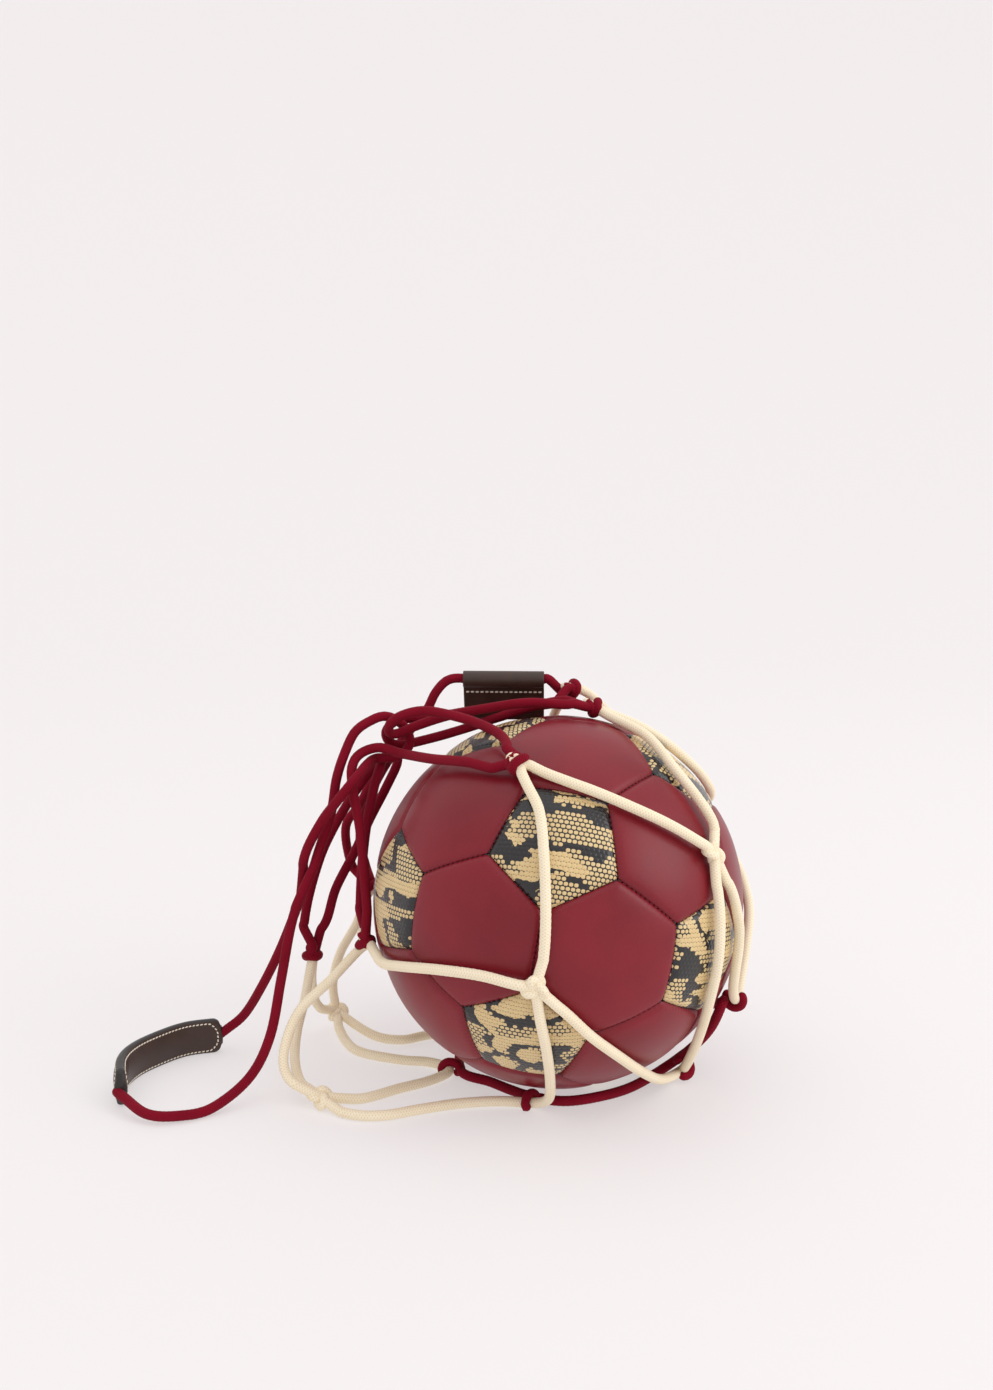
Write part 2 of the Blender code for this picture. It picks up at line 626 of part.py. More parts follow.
def add_pad(collection, materials):
    """A band that follows the pad's route on the floor, standing on its edge, with its corners cut."""
    line = smooth([(x, y, 0) for x, y in PAD_ROUTE], 0.010)[:, :2]
    ways = np.gradient(line, axis=0)
    ways /= np.linalg.norm(ways, axis=1)[:, None]
    sides = np.column_stack([-ways[:, 1], ways[:, 0]]) * PAD_THICKNESS / 2
    along = np.concatenate([[0], np.cumsum(np.linalg.norm(np.diff(line, axis=0), axis=1))])
    from_end = np.minimum(along, along[-1] - along)
    cut = np.maximum(PAD_END_CUT - from_end, 0)
    bm = bmesh.new()
    rings = []
    for place, side, lost in zip(line, sides, cut):
        low, high = lost, PAD_HEIGHT - lost
        corners = [(place + side, low), (place - side, low), (place - side, high), (place + side, high)]
        rings.append([bm.verts.new((xy[0], xy[1], z)) for xy, z in corners])
    for first, second in zip(rings, rings[1:]):
        for k in range(4):
            bm.faces.new((first[k], first[(k + 1) % 4], second[(k + 1) % 4], second[k]))
    bm.faces.new(rings[0])
    bm.faces.new(rings[-1])
    bmesh.ops.recalc_face_normals(bm, faces=bm.faces)
    return add_object("hand_pad", mesh_from(bm, "hand_pad"), collection, materials["brown_leather"])


def add_tag(collection, materials):
    """The folded tag's end view, a ring with a flap below it, extruded along the cord."""
    half = TAG_FLAP_THICKNESS / 2
    joint_angle = math.asin(half / TAG_SLEEVE_RADIUS)
    arc_points = 14
    sweep = 2 * math.pi - 2 * joint_angle
    outline = []
    for k in range(arc_points + 1):
        angle = -math.pi / 2 + joint_angle + sweep * k / arc_points
        outline.append((TAG_SLEEVE_RADIUS * math.cos(angle), TAG_SLEEVE_RADIUS * math.sin(angle)))
    outline += [(-half, -TAG_SLEEVE_RADIUS - TAG_FLAP_LENGTH), (half, -TAG_SLEEVE_RADIUS - TAG_FLAP_LENGTH)]
    bore = CORD_RADIUS + TAG_SLEEVE_CLEARANCE
    hole_points = 12
    hole = []
    for k in range(hole_points):
        angle = -2 * math.pi * k / hole_points
        hole.append((bore * math.cos(angle), bore * math.sin(angle)))
    curve = bpy.data.curves.new("tag", "CURVE")
    settings(curve, dimensions="2D", fill_mode="BOTH", extrude=TAG_WIDTH / 2)
    for points in (outline, hole):
        spline = curve.splines.new("POLY")
        spline.points.add(len(points) - 1)
        spline.points.foreach_set("co", [value for x, y in points for value in (x, y, 0.0, 1.0)])
        spline.use_cyclic_u = True
    tag = add_object("tag", curve, collection, materials["brown_leather"])
    # The outline's X is the object's back, its Y is up, and the extrusion runs along the cord.
    tag.matrix_world = (
        Matrix.Translation(Vector(TAG_MIDDLE) * MM)
        @ Matrix.Rotation(TAG_LEAN, 4, "X")
        @ Matrix(((0, 0, 1, 0), (1, 0, 0, 0), (0, 1, 0, 0), (0, 0, 0, 1)))
    )
    return tag


def main():
    clear_scene()
    collection = add_collection(OBJECT_NAME)
    cutters = add_collection("cutters")
    materials = make_materials()
    add_ball(collection, cutters, materials)
    add_cords(collection, materials)
    add_pad(collection, materials)
    add_tag(collection, materials)


main()
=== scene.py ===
import math

import bmesh
import bpy
import numpy as np
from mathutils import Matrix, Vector


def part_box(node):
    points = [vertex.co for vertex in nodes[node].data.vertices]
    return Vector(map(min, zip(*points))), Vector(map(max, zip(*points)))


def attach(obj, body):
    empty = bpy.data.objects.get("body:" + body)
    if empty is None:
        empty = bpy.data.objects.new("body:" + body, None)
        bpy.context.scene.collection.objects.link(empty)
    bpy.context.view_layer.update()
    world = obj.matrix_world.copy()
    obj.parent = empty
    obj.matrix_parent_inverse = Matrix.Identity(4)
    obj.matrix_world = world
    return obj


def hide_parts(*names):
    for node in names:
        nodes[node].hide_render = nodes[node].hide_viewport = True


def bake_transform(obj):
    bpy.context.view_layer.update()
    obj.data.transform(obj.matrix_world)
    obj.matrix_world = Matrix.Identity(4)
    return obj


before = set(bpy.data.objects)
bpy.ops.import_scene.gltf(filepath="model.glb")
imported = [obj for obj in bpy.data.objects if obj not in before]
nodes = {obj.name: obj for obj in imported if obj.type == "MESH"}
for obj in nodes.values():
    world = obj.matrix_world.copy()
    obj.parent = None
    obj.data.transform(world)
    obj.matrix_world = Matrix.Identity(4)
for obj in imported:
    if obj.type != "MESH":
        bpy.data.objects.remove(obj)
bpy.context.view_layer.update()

# A stitched football in a knotted net carry bag. Everything is in metres: X right, Y back, Z up.

rng = np.random.default_rng(11)
print("frame loaded:", len(nodes), "CAD nodes")

ball = dict(radius=0.110, sink=0.001, frontPentagon=(-0.003, -0.831, 0.556),
            upperPentagon=(-0.381, 0.079, 0.921))
ballCentre = np.array([0.0, 0.0, ball["radius"] - ball["sink"]])


def unit(vectors):
    return vectors / np.maximum(np.linalg.norm(vectors, axis=-1, keepdims=True), 1e-12)


def dots(a, b):
    return (a * b).sum(axis=-1, keepdims=True)


def cumulative(path):        # distance along a path at each of its points
    return np.concatenate([[0], np.cumsum(np.linalg.norm(np.diff(path, axis=0), axis=1))])


def spaced(path, step):        # the path read off again at even steps near the one asked for
    along = cumulative(path)
    marks = np.linspace(0, along[-1], max(2, int(round(along[-1] / step)) + 1))
    return np.stack([np.interp(marks, along, path[:, k]) for k in range(3)], axis=1)


def smooth(route, step, closed=False, samples=24):
    # Catmull-Rom: a cubic between each two points that leaves and arrives along its neighbours' chords
    points = np.array(route, float)
    if closed:
        points = np.vstack([points[-1:], points, points[:2]])
    else:
        points = np.vstack([2 * points[0] - points[1], points, 2 * points[-1] - points[-2]])
    t = (np.arange(samples) / samples)[None, :, None]
    p0, p1, p2, p3 = (points[k:len(points) - 3 + k, None] for k in range(4))
    runs = 0.5 * (2 * p1 + (p2 - p0) * t + (2 * p0 - 5 * p1 + 4 * p2 - p3) * t**2
                  + (3 * p1 - p0 - 3 * p2 + p3) * t**3)
    return spaced(np.vstack([runs.reshape(-1, 3), points[-2:-1]]), step)


def grid(points, wrap=True, uv=None):        # one surface: rows x columns of points, its columns closed
    return dict(points=np.asarray(points, float), wrap=wrap, uv=uv)


def addPiece(name, grids, body, materials, stands=(), faceMaterial=None, bend=None):
    # A grid becomes quads between its rows and columns; equal points are merged, which closes poles
    verts, quads, corners, base = [], [], [], 0
    for g in grids:
        points, wrap = g["points"], g["wrap"]
        rows, cols = points.shape[:2]
        i = np.arange(rows - 1)[:, None]
        j = np.arange(cols if wrap else cols - 1)[None]
        k = (j + 1) % cols
        here, below = i * cols, (i + 1) * cols
        quads.append(np.stack([here + j, here + k, below + k, below + j], -1).reshape(-1, 4)
                     + base)
        uv = g["uv"]
        if uv is None:
            uv = np.zeros((rows, cols + 1, 2))
        n = j.shape[1]
        corners.append(np.stack([uv[:-1, :n], uv[:-1, 1:n + 1], uv[1:, 1:n + 1], uv[1:, :n]], 2).reshape(-1, 2))
        verts.append(points.reshape(-1, 3))
        base += rows * cols
    mesh = bpy.data.meshes.new(name)
    mesh.from_pydata(np.vstack(verts).tolist(), [], np.vstack(quads).tolist())
    layer = mesh.uv_layers.new(name="surfaceMap")
    layer.data.foreach_set("uv", np.vstack(corners).astype(np.float32).ravel())
    if faceMaterial is not None:
        mesh.polygons.foreach_set("material_index", np.asarray(faceMaterial, np.int32))
    bm = bmesh.new()
    bm.from_mesh(mesh)
    bmesh.ops.remove_doubles(bm, verts=bm.verts, dist=1e-7)
    bmesh.ops.recalc_face_normals(bm, faces=bm.faces)
    bm.to_mesh(mesh)
    bm.free()
    mesh.polygons.foreach_set("use_smooth", np.ones(len(mesh.polygons), bool))
    for material in materials:
        mesh.materials.append(material)
    obj = bpy.data.objects.new(name, mesh)
    bpy.context.scene.collection.objects.link(obj)
    if bend is None:
        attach(obj, body)
    else:
        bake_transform(obj)
    if stands:
        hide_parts(*stands)
    return obj


# What the view, the floor and the light are made from
studio = dict(place=(0.0, -0.82892, 0.3756), tiltDown=9.7807, turnLeft=2.5055, lens=37.24,
              floorRadius=1.6, wallRadius=3.0, wallHeight=3.2, floorColour=(0.400, 0.388, 0.388),
              floorGlow=(0.490, 0.470, 0.472))


def addStudio():
    data = bpy.data.cameras.new("view")
    data.lens, data.clip_start, data.clip_end = studio["lens"], 0.01, 50
    camera = bpy.data.objects.new("view", data)
    camera.location = studio["place"]
    camera.rotation_euler = (math.radians(90 - studio["tiltDown"]), 0, math.radians(studio["turnLeft"]))
    bpy.context.scene.collection.objects.link(camera)
    bpy.context.scene.camera = camera

    # The floor's radius grows from the middle, then turns up a quarter circle into the wall
    flat, wall, tall = studio["floorRadius"], studio["wallRadius"], studio["wallHeight"]
    bend = np.linspace(0, np.pi / 2, 24)
    radius = np.concatenate([np.linspace(0, flat, 12)[:-1], flat + (wall - flat) * np.sin(bend), [wall]])
    height = np.concatenate([np.zeros(11), (wall - flat) * (1 - np.cos(bend)), [tall]])
    around = np.linspace(0, 2 * np.pi, 97)[:-1]
    points = np.stack([radius[:, None] * np.cos(around), radius[:, None] * np.sin(around),
                       height[:, None] + 0 * around], -1)
    mesh = bpy.data.meshes.new("studioFloor")
    rows, cols = points.shape[:2]
    i, j = np.arange(rows - 1)[:, None], np.arange(cols)[None]
    k = (j + 1) % cols
    quads = np.stack([i * cols + j, (i + 1) * cols + j, (i + 1) * cols + k, i * cols + k], -1).reshape(-1, 4)
    mesh.from_pydata(points.reshape(-1, 3).tolist(), [], quads.tolist())
    mesh.polygons.foreach_set("use_smooth", np.ones(len(mesh.polygons), bool))
    floor = bpy.data.objects.new("studioFloor", mesh)
    bpy.context.scene.collection.objects.link(floor)
    material = bpy.data.materials.new("palePaper")
    material.use_nodes = True
    shader = material.node_tree.nodes["Principled BSDF"]
    shader.inputs["Base Color"].default_value = (*studio["floorColour"], 1)
    shader.inputs["Roughness"].default_value = 0.9
    shader.inputs["Specular IOR Level"].default_value = 0.1
    # a lit table: part of the floor's light is its own, so shadows stay faint
    shader.inputs["Emission Color"].default_value = (*studio["floorGlow"], 1)
    shader.inputs["Emission Strength"].default_value = 1.0
    mesh.materials.append(material)

    world = bpy.data.worlds.new("softRoom")
    bpy.context.scene.world = world
    world.use_nodes = True
    world.node_tree.nodes["Background"].inputs["Color"].default_value = (1.0, 0.985, 0.99, 1)
    world.node_tree.nodes["Background"].inputs["Strength"].default_value = lights["room"]
    for name, place, size, power, colour in lights["lamps"]:
        lamp = bpy.data.lights.new(name, "AREA")
        lamp.shape, lamp.size, lamp.energy, lamp.color = "DISK", size, power, colour
        obj = bpy.data.objects.new(name, lamp)
        obj.location = place
        obj.rotation_euler = (Vector((0, 0, 0.1)) - Vector(place)).to_track_quat("-Z", "Y").to_euler()
        bpy.context.scene.collection.objects.link(obj)
    bpy.context.scene.view_settings.view_transform = "Standard"


lights = dict(
    room=1.06,
    lamps=[        # name, place, width, watts, colour
        ("keyLamp", (1.85, -0.60, 1.15), 1.7, 15, (1.0, 0.985, 0.97)),
        ("topLamp", (0.0, -0.1, 2.2), 2.6, 3, (1.0, 0.99, 1.0)),
    ],
)
addStudio()
print("camera, floor and light")


# Where the net is knotted, in order round the ball, and every cord's route.
baseHitches = [(-0.014, -0.046, 0.004), (0.068, -0.006, 0.006), (0.097, -0.03, 0.058),
               (0.042, 0.062, 0.012), (-0.038, 0.056, 0.004), (-0.057, -0.013, 0.004)]
meshKnots = [(-0.01, -0.112, 0.097), (0.085, -0.061, 0.153), (0.084, 0.066, 0.146),
             (-0.014, 0.112, 0.12), (-0.144, 0.062, 0.007), (-0.134, -0.058, 0.007)]
neckBights = [(-0.019, -0.063, 0.202), (0.024, 0.019, 0.219), (0.012, 0.053, 0.228),
              (-0.12, 0.062, 0.092), (-0.151, 0.014, 0.062), (-0.112, -0.02, 0.085)]

baseRing = [baseHitches[5], (-0.039, -0.025, 0.003), (-0.026, -0.036, 0.003), baseHitches[0],
            (0.005, -0.049, 0.003), (0.026, -0.042, 0.003), (0.046, -0.028, 0.003), baseHitches[1],
            (0.081, -0.016, 0.022), (0.091, -0.026, 0.04), baseHitches[2], (0.1, 0.004, 0.044),
            (0.078, 0.044, 0.022), baseHitches[3], (0.004, 0.066, 0.003), baseHitches[4],
            (-0.058, 0.028, 0.003)]

# Each lower cord runs from one mesh knot, round a base hitch, to the next mesh knot.
lowerCords = [
    [meshKnots[5], (-0.117, -0.068, 0.003), (-0.098, -0.07, 0.003), (-0.077, -0.062, 0.003),
     (-0.055, -0.054, 0.003), (-0.032, -0.05, 0.003), (-0.013, -0.053, 0.004), (-0.004, -0.064, 0.012),
     (-0.003, -0.084, 0.034), (-0.005, -0.102, 0.06), (-0.008, -0.11, 0.08), meshKnots[0]],
    [meshKnots[0], (0.004, -0.11, 0.084), (0.018, -0.104, 0.068), (0.034, -0.09, 0.05),
     (0.048, -0.07, 0.032), (0.061, -0.04, 0.014), (0.074, -0.01, 0.006), (0.078, -0.022, 0.018),
     (0.081, -0.045, 0.042), (0.084, -0.064, 0.07), (0.088, -0.071, 0.096), (0.089, -0.071, 0.119),
     (0.088, -0.066, 0.137), meshKnots[1]],
    [meshKnots[1], (0.095, -0.057, 0.137), (0.101, -0.051, 0.115), (0.102, -0.048, 0.099),
     (0.101, -0.045, 0.084), (0.101, -0.037, 0.068), (0.104, -0.026, 0.058), (0.108, -0.016, 0.068),
     (0.112, -0.006, 0.084), (0.115, 0.008, 0.103), (0.11, 0.026, 0.122), (0.098, 0.048, 0.138),
     meshKnots[2]],
    [meshKnots[2], (0.096, 0.08, 0.11), (0.088, 0.084, 0.07), (0.066, 0.076, 0.03), (0.044, 0.069, 0.012),
     (0.032, 0.082, 0.03), (0.014, 0.102, 0.066), (-0.004, 0.112, 0.098), meshKnots[3]],
    [meshKnots[3], (-0.028, 0.11, 0.092), (-0.036, 0.098, 0.056), (-0.04, 0.078, 0.022),
     (-0.042, 0.063, 0.005), (-0.06, 0.052, 0.003), (-0.085, 0.041, 0.003), (-0.099, 0.034, 0.003),
     (-0.118, 0.04, 0.003), meshKnots[4]],
    [meshKnots[4], (-0.134, 0.034, 0.003), (-0.122, 0.015, 0.003), (-0.096, 0.004, 0.003),
     (-0.077, 0.001, 0.003), (-0.064, -0.012, 0.004), (-0.075, -0.025, 0.003), (-0.094, -0.038, 0.003),
     (-0.114, -0.052, 0.003), meshKnots[5]],
]

# Each upper cord runs from one mesh knot, up over a neck bight, to the next mesh knot.
upperCords = [
    [meshKnots[0], (-0.007, -0.113, 0.113), (-0.006, -0.11, 0.136), (-0.007, -0.1, 0.163),
     (-0.01, -0.085, 0.185), neckBights[0], (0.011, -0.073, 0.196), (0.039, -0.076, 0.185),
     (0.062, -0.072, 0.172), meshKnots[1]],
    [meshKnots[1], (0.087, -0.05, 0.165), (0.08, -0.044, 0.178), (0.066, -0.032, 0.195),
     (0.05, -0.01, 0.211), neckBights[1], (0.042, 0.024, 0.213), (0.06, 0.026, 0.203),
     (0.076, 0.028, 0.19), (0.088, 0.036, 0.176), (0.094, 0.052, 0.16), meshKnots[2]],
    [meshKnots[2], (0.068, 0.08, 0.172), (0.038, 0.078, 0.202), neckBights[2], (-0.002, 0.076, 0.21),
     (-0.01, 0.098, 0.172), meshKnots[3]],
    [meshKnots[3], (-0.05, 0.104, 0.122), (-0.086, 0.084, 0.116), neckBights[3], (-0.131, 0.064, 0.069),
     (-0.142, 0.066, 0.048), (-0.147, 0.066, 0.026), meshKnots[4]],
    [meshKnots[4], (-0.153, 0.05, 0.02), (-0.154, 0.032, 0.042), neckBights[4], (-0.154, 0.002, 0.042),
     (-0.156, -0.014, 0.029), (-0.154, -0.034, 0.018), (-0.147, -0.05, 0.01), meshKnots[5]],
    [meshKnots[5], (-0.15, -0.054, 0.014), (-0.155, -0.05, 0.029), (-0.149, -0.042, 0.051),
     (-0.132, -0.034, 0.068), neckBights[5], (-0.098, -0.055, 0.088), (-0.087, -0.071, 0.092),
     (-0.063, -0.094, 0.099), (-0.04, -0.106, 0.101), (-0.023, -0.111, 0.099), meshKnots[0]],
]

# Each top cord runs from one neck bight, through the gather at the upper left, to the neighbouring bight.
topCords = [
    [neckBights[0], (-0.032, -0.058, 0.204), (-0.049, -0.047, 0.204), (-0.071, -0.026, 0.2),
     (-0.091, 0, 0.197), (-0.107, 0.008, 0.199), (-0.119, 0.002, 0.193), (-0.119, -0.008, 0.177),
     (-0.115, -0.014, 0.157), (-0.112, -0.018, 0.128), (-0.11, -0.022, 0.102), neckBights[5]],
    [neckBights[5], (-0.116, -0.016, 0.104), (-0.116, -0.006, 0.129), (-0.114, 0.002, 0.153),
     (-0.11, 0.012, 0.176), (-0.107, 0.02, 0.188), (-0.115, 0.028, 0.18), (-0.127, 0.026, 0.163),
     (-0.138, 0.024, 0.144), (-0.146, 0.022, 0.126), (-0.153, 0.02, 0.101), (-0.156, 0.018, 0.08),
     neckBights[4]],
    [neckBights[4], (-0.146, 0.022, 0.084), (-0.139, 0.026, 0.104), (-0.127, 0.032, 0.126),
     (-0.116, 0.036, 0.149), (-0.106, 0.038, 0.168), (-0.099, 0.042, 0.184), (-0.105, 0.05, 0.188),
     (-0.116, 0.056, 0.17), (-0.126, 0.06, 0.151), (-0.136, 0.064, 0.135), (-0.134, 0.066, 0.112),
     neckBights[3]],
    [neckBights[3], (-0.126, 0.072, 0.1), (-0.13, 0.076, 0.124), (-0.119, 0.068, 0.159),
     (-0.102, 0.054, 0.189), (-0.089, 0.046, 0.206), (-0.081, 0.046, 0.216), (-0.076, 0.047, 0.226),
     (-0.067, 0.049, 0.234), (-0.05, 0.049, 0.234), (-0.018, 0.049, 0.234), (-0.003, 0.049, 0.234),
     neckBights[2]],
    [neckBights[2], (0, 0.042, 0.224), (-0.011, 0.036, 0.221), (-0.029, 0.032, 0.219),
     (-0.054, 0.03, 0.216), (-0.078, 0.027, 0.213), (-0.097, 0.026, 0.212), (-0.105, 0.026, 0.204),
     (-0.099, 0.03, 0.196), (-0.078, 0.034, 0.2), (-0.054, 0.036, 0.208), (-0.032, 0.03, 0.218),
     (-0.005, 0.026, 0.225), (0.013, 0.022, 0.226), neckBights[1]],
    [neckBights[1], (0.007, 0.01, 0.226), (-0.017, 0.008, 0.227), (-0.041, 0.011, 0.223),
     (-0.065, 0.014, 0.218), (-0.086, 0.016, 0.211), (-0.099, 0.015, 0.206), (-0.101, 0.008, 0.212),
     (-0.094, 0.003, 0.219), (-0.08, 0, 0.223), (-0.063, -0.008, 0.222), (-0.045, -0.02, 0.219),
     (-0.031, -0.038, 0.215), neckBights[0]],
]

# The carry cord comes up from one fold, round the gather and down to the other.
carryFolds = [(-0.151, -0.019, 0.117), (-0.151, -0.01, 0.117)]
carryHitch = [carryFolds[0], (-0.144, -0.009, 0.138), (-0.136, -0.002, 0.16), (-0.132, 0.001, 0.181),
              (-0.127, 0.004, 0.196), (-0.121, 0.008, 0.208), (-0.112, 0.012, 0.214),
              (-0.104, 0.015, 0.216), (-0.096, 0.018, 0.212), (-0.091, 0.021, 0.204),
              (-0.091, 0.022, 0.196), (-0.098, 0.02, 0.19), (-0.106, 0.015, 0.19), (-0.112, 0.012, 0.19),
              (-0.117, 0, 0.187), (-0.122, -0.014, 0.181), (-0.13, -0.016, 0.17), (-0.138, -0.014, 0.158),
              (-0.147, -0.014, 0.138), carryFolds[1]]
carryCordNear = [carryFolds[0], (-0.156, -0.025, 0.098), (-0.161, -0.034, 0.068), (-0.166, -0.046, 0.038),
                 (-0.178, -0.05, 0.014), (-0.196, -0.068, 0.003), (-0.212, -0.078, 0.003),
                 (-0.23, -0.08, 0.005), (-0.248, -0.066, 0.009)]
carryCordFar = [carryFolds[1], (-0.158, -0.004, 0.099), (-0.169, 0.004, 0.073), (-0.182, 0.011, 0.047),
                (-0.196, 0.02, 0.024), (-0.209, 0.019, 0.013)]
padRoute = [(-0.211, 0.019), (-0.231, 0.011), (-0.245, -0.005), (-0.254, -0.022), (-0.256, -0.04),
            (-0.25, -0.062)]
tagMiddle = (-0.034, 0.049, 0.234)

cord = dict(diameter=0.006, knotRadius=0.0068, hitchLift=0.6, gap=0.0005, tagCord=4, tagWidth=0.050,
            settleStep=0.004, settleRounds=200, settlePush=0.3, settleSlack=0.0006, ballSlack=0.0002,
            floorSlack=0.00002, pairRounds=20, pairReach=3.5, neighbourSpan=3.5, routeStep=0.003)
cordRadius = cord["diameter"] / 2


def trimmed(path, start, end):        # a length off each end; a negative end carries the path on straight
    if end < 0:
        path = np.vstack([path, path[-1] - unit(path[-1] - path[-2]) * end])
        end = 0
    along = cumulative(path)
    count = max(3, int(round((along[-1] - start - end) / cord["settleStep"])) + 1)
    marks = np.linspace(start, along[-1] - end, count)
    return np.stack([np.interp(marks, along, path[:, k]) for k in range(3)], axis=1)


def hitchPlace(bight):        # out from the ball, and towards the two top cords that come to this bight
    at = np.array(bight, float)
    way = cord["hitchLift"] * unit(at - ballCentre)
    for route in topCords:
        for end, following in ((route[0], route[1]), (route[-1], route[-2])):
            if end == bight:
                way = way + unit(np.array(following) - at)
    return at + unit(way) * (cord["knotRadius"] + cordRadius + 2 * cord["gap"])


def netCords():        # every cord by name: its points, the radius kept free at each, and where it is held
    cords = {}

    def add(name, route, start=0.0, end=0.0, knot=False, closed=False, held=None):
        path = trimmed(smooth(route, cord["settleStep"], closed), start, end)
        if closed:
            path = path[:-1]
        radius = np.full(len(path), cordRadius)
        if knot:
            away = np.linalg.norm(path - np.array(route[-1]), axis=1)
            radius = np.maximum(radius, np.sqrt(np.maximum(cord["knotRadius"]**2 - away**2, 0)))
        still = np.zeros(len(path), bool)
        if held is not None:
            still = (path[:, 0] > held[0]) & (path[:, 0] < held[1])
        cords[name] = [path, radius, still]

    meet, past, half = cord["knotRadius"] + cord["gap"], -cord["knotRadius"], cord["gap"] / 2
    for number, route in enumerate(upperCords, 1):
        add(f"upper_cord_{number}", route, meet, past, knot=True)
    for number, route in enumerate(lowerCords, 1):
        add(f"lower_cord_{number}", route, meet, meet)
    reach = cord["tagWidth"] / 2 + cordRadius
    sleeve = (tagMiddle[0] - reach, tagMiddle[0] + reach)
    hitches = {bight: hitchPlace(bight) for bight in neckBights}
    for number, route in enumerate(topCords, 1):
        line = [hitches[route[0]], *route[1:-1], hitches[route[-1]]]
        held = sleeve if number == cord["tagCord"] else None
        add(f"top_cord_{number}", line, meet, past, knot=True, held=held)
    add("base_ring", baseRing, closed=True)
    add("carry_hitch", carryHitch, half, half)
    add("carry_cord_near", carryCordNear, half, cord["gap"])
    add("carry_cord_far", carryCordFar, half, cord["gap"])
    return cords


def closePairs(place, owner, roundTrip):        # points that may touch and aren't neighbours on one cord
    away = np.linalg.norm(place[:, None] - place, axis=2)
    index = np.arange(len(place))
    steps = abs(index[:, None] - index)
    steps = np.minimum(steps, abs(roundTrip - steps))
    apart = (owner[:, None] != owner) | (steps * cord["settleStep"] > cord["neighbourSpan"] * cord["diameter"])
    return np.nonzero(np.triu(apart & (away < cord["pairReach"] * cord["diameter"]), 1))


def settled(cords):
    # Each round pushes close points apart by a share of what they lack, smooths the moves along each cord,
    # and lifts every point clear of the ball and the floor
    names = list(cords)
    sizes = [len(cords[name][0]) for name in names]
    start = np.vstack([cords[name][0] for name in names])
    radius = np.concatenate([cords[name][1] for name in names])
    free = ~np.concatenate([cords[name][2] for name in names])[:, None]
    owner = np.repeat(np.arange(len(names)), sizes)
    closed = np.array([name == "base_ring" for name in names])
    roundTrip = np.where(closed, sizes, len(start) * 2)[owner][:, None]
    ends = np.flatnonzero(np.diff(owner))
    moved = np.zeros_like(start)
    for turn in range(cord["settleRounds"]):
        place = start + moved
        if turn % cord["pairRounds"] == 0:
            first, second = closePairs(place, owner, roundTrip)
        gaps = place[first] - place[second]
        away = np.linalg.norm(gaps, axis=1)
        short = np.maximum(radius[first] + radius[second] + cord["gap"] + cord["settleSlack"] - away, 0)
        push = gaps * (cord["settlePush"] * short / away)[:, None]
        step = np.zeros_like(start)
        np.add.at(step, first, push)
        np.add.at(step, second, -push)
        moved += step * free
        if turn < cord["settleRounds"] - cord["pairRounds"]:
            spread = moved.copy()
            spread[1:-1] = 0.25 * moved[:-2] + 0.5 * moved[1:-1] + 0.25 * moved[2:]
            spread[ends], spread[ends + 1] = moved[ends], moved[ends + 1]
            moved = spread * free
        out = start + moved - ballCentre
        far = np.linalg.norm(out, axis=1)
        least = ball["radius"] + radius + cord["gap"] + cord["ballSlack"]
        place = ballCentre + out * np.maximum(1, least / far)[:, None]
        place[:, 2] = np.maximum(place[:, 2], radius + cord["floorSlack"])
        moved = place - start
    placed = np.split(start + moved, np.cumsum(sizes)[:-1])
    return {name: (path, cords[name][1]) for name, path in zip(names, placed)}


placedCords = settled(netCords())
print("cords settled:", len(placedCords))


def framesAlong(path, closed=False):
    # Frames from a fixed helper, then turned by the running sum of the angles that carry each to the next
    ways = np.roll(path, -1, 0) - np.roll(path, 1, 0) if closed else np.gradient(path, axis=0)
    tangent = unit(ways)
    helper = np.where(abs(tangent[:, 2:]) < 0.9, [[0.0, 0.0, 1.0]], [[1.0, 0.0, 0.0]])
    side = unit(np.cross(helper, tangent))
    up = np.cross(tangent, side)
    nextTangent, nextSide, nextUp = (np.roll(values, -1, 0) for values in (tangent, side, up))
    carried = side - dots(side, nextTangent) * nextTangent
    turn = np.arctan2(dots(carried, nextUp), dots(carried, nextSide))[:, 0]
    angle = np.concatenate([[0], np.cumsum(turn)])
    if closed:
        over = (angle[-1] + np.pi) % (2 * np.pi) - np.pi
        angle = angle - over * np.arange(len(angle)) / len(path)
    angle = angle[:-1, None]
    normal = side * np.cos(angle) + up * np.sin(angle)
    return tangent, normal, np.cross(tangent, normal)


def braid(along, around, pitch, strands, depth):
    # Two families of strands that wind opposite ways; the surface is the higher of the two waves
    phase = 2 * np.pi * along / pitch
    return depth * (np.maximum(np.cos(phase + strands * around), np.cos(phase - strands * around)) - 1)


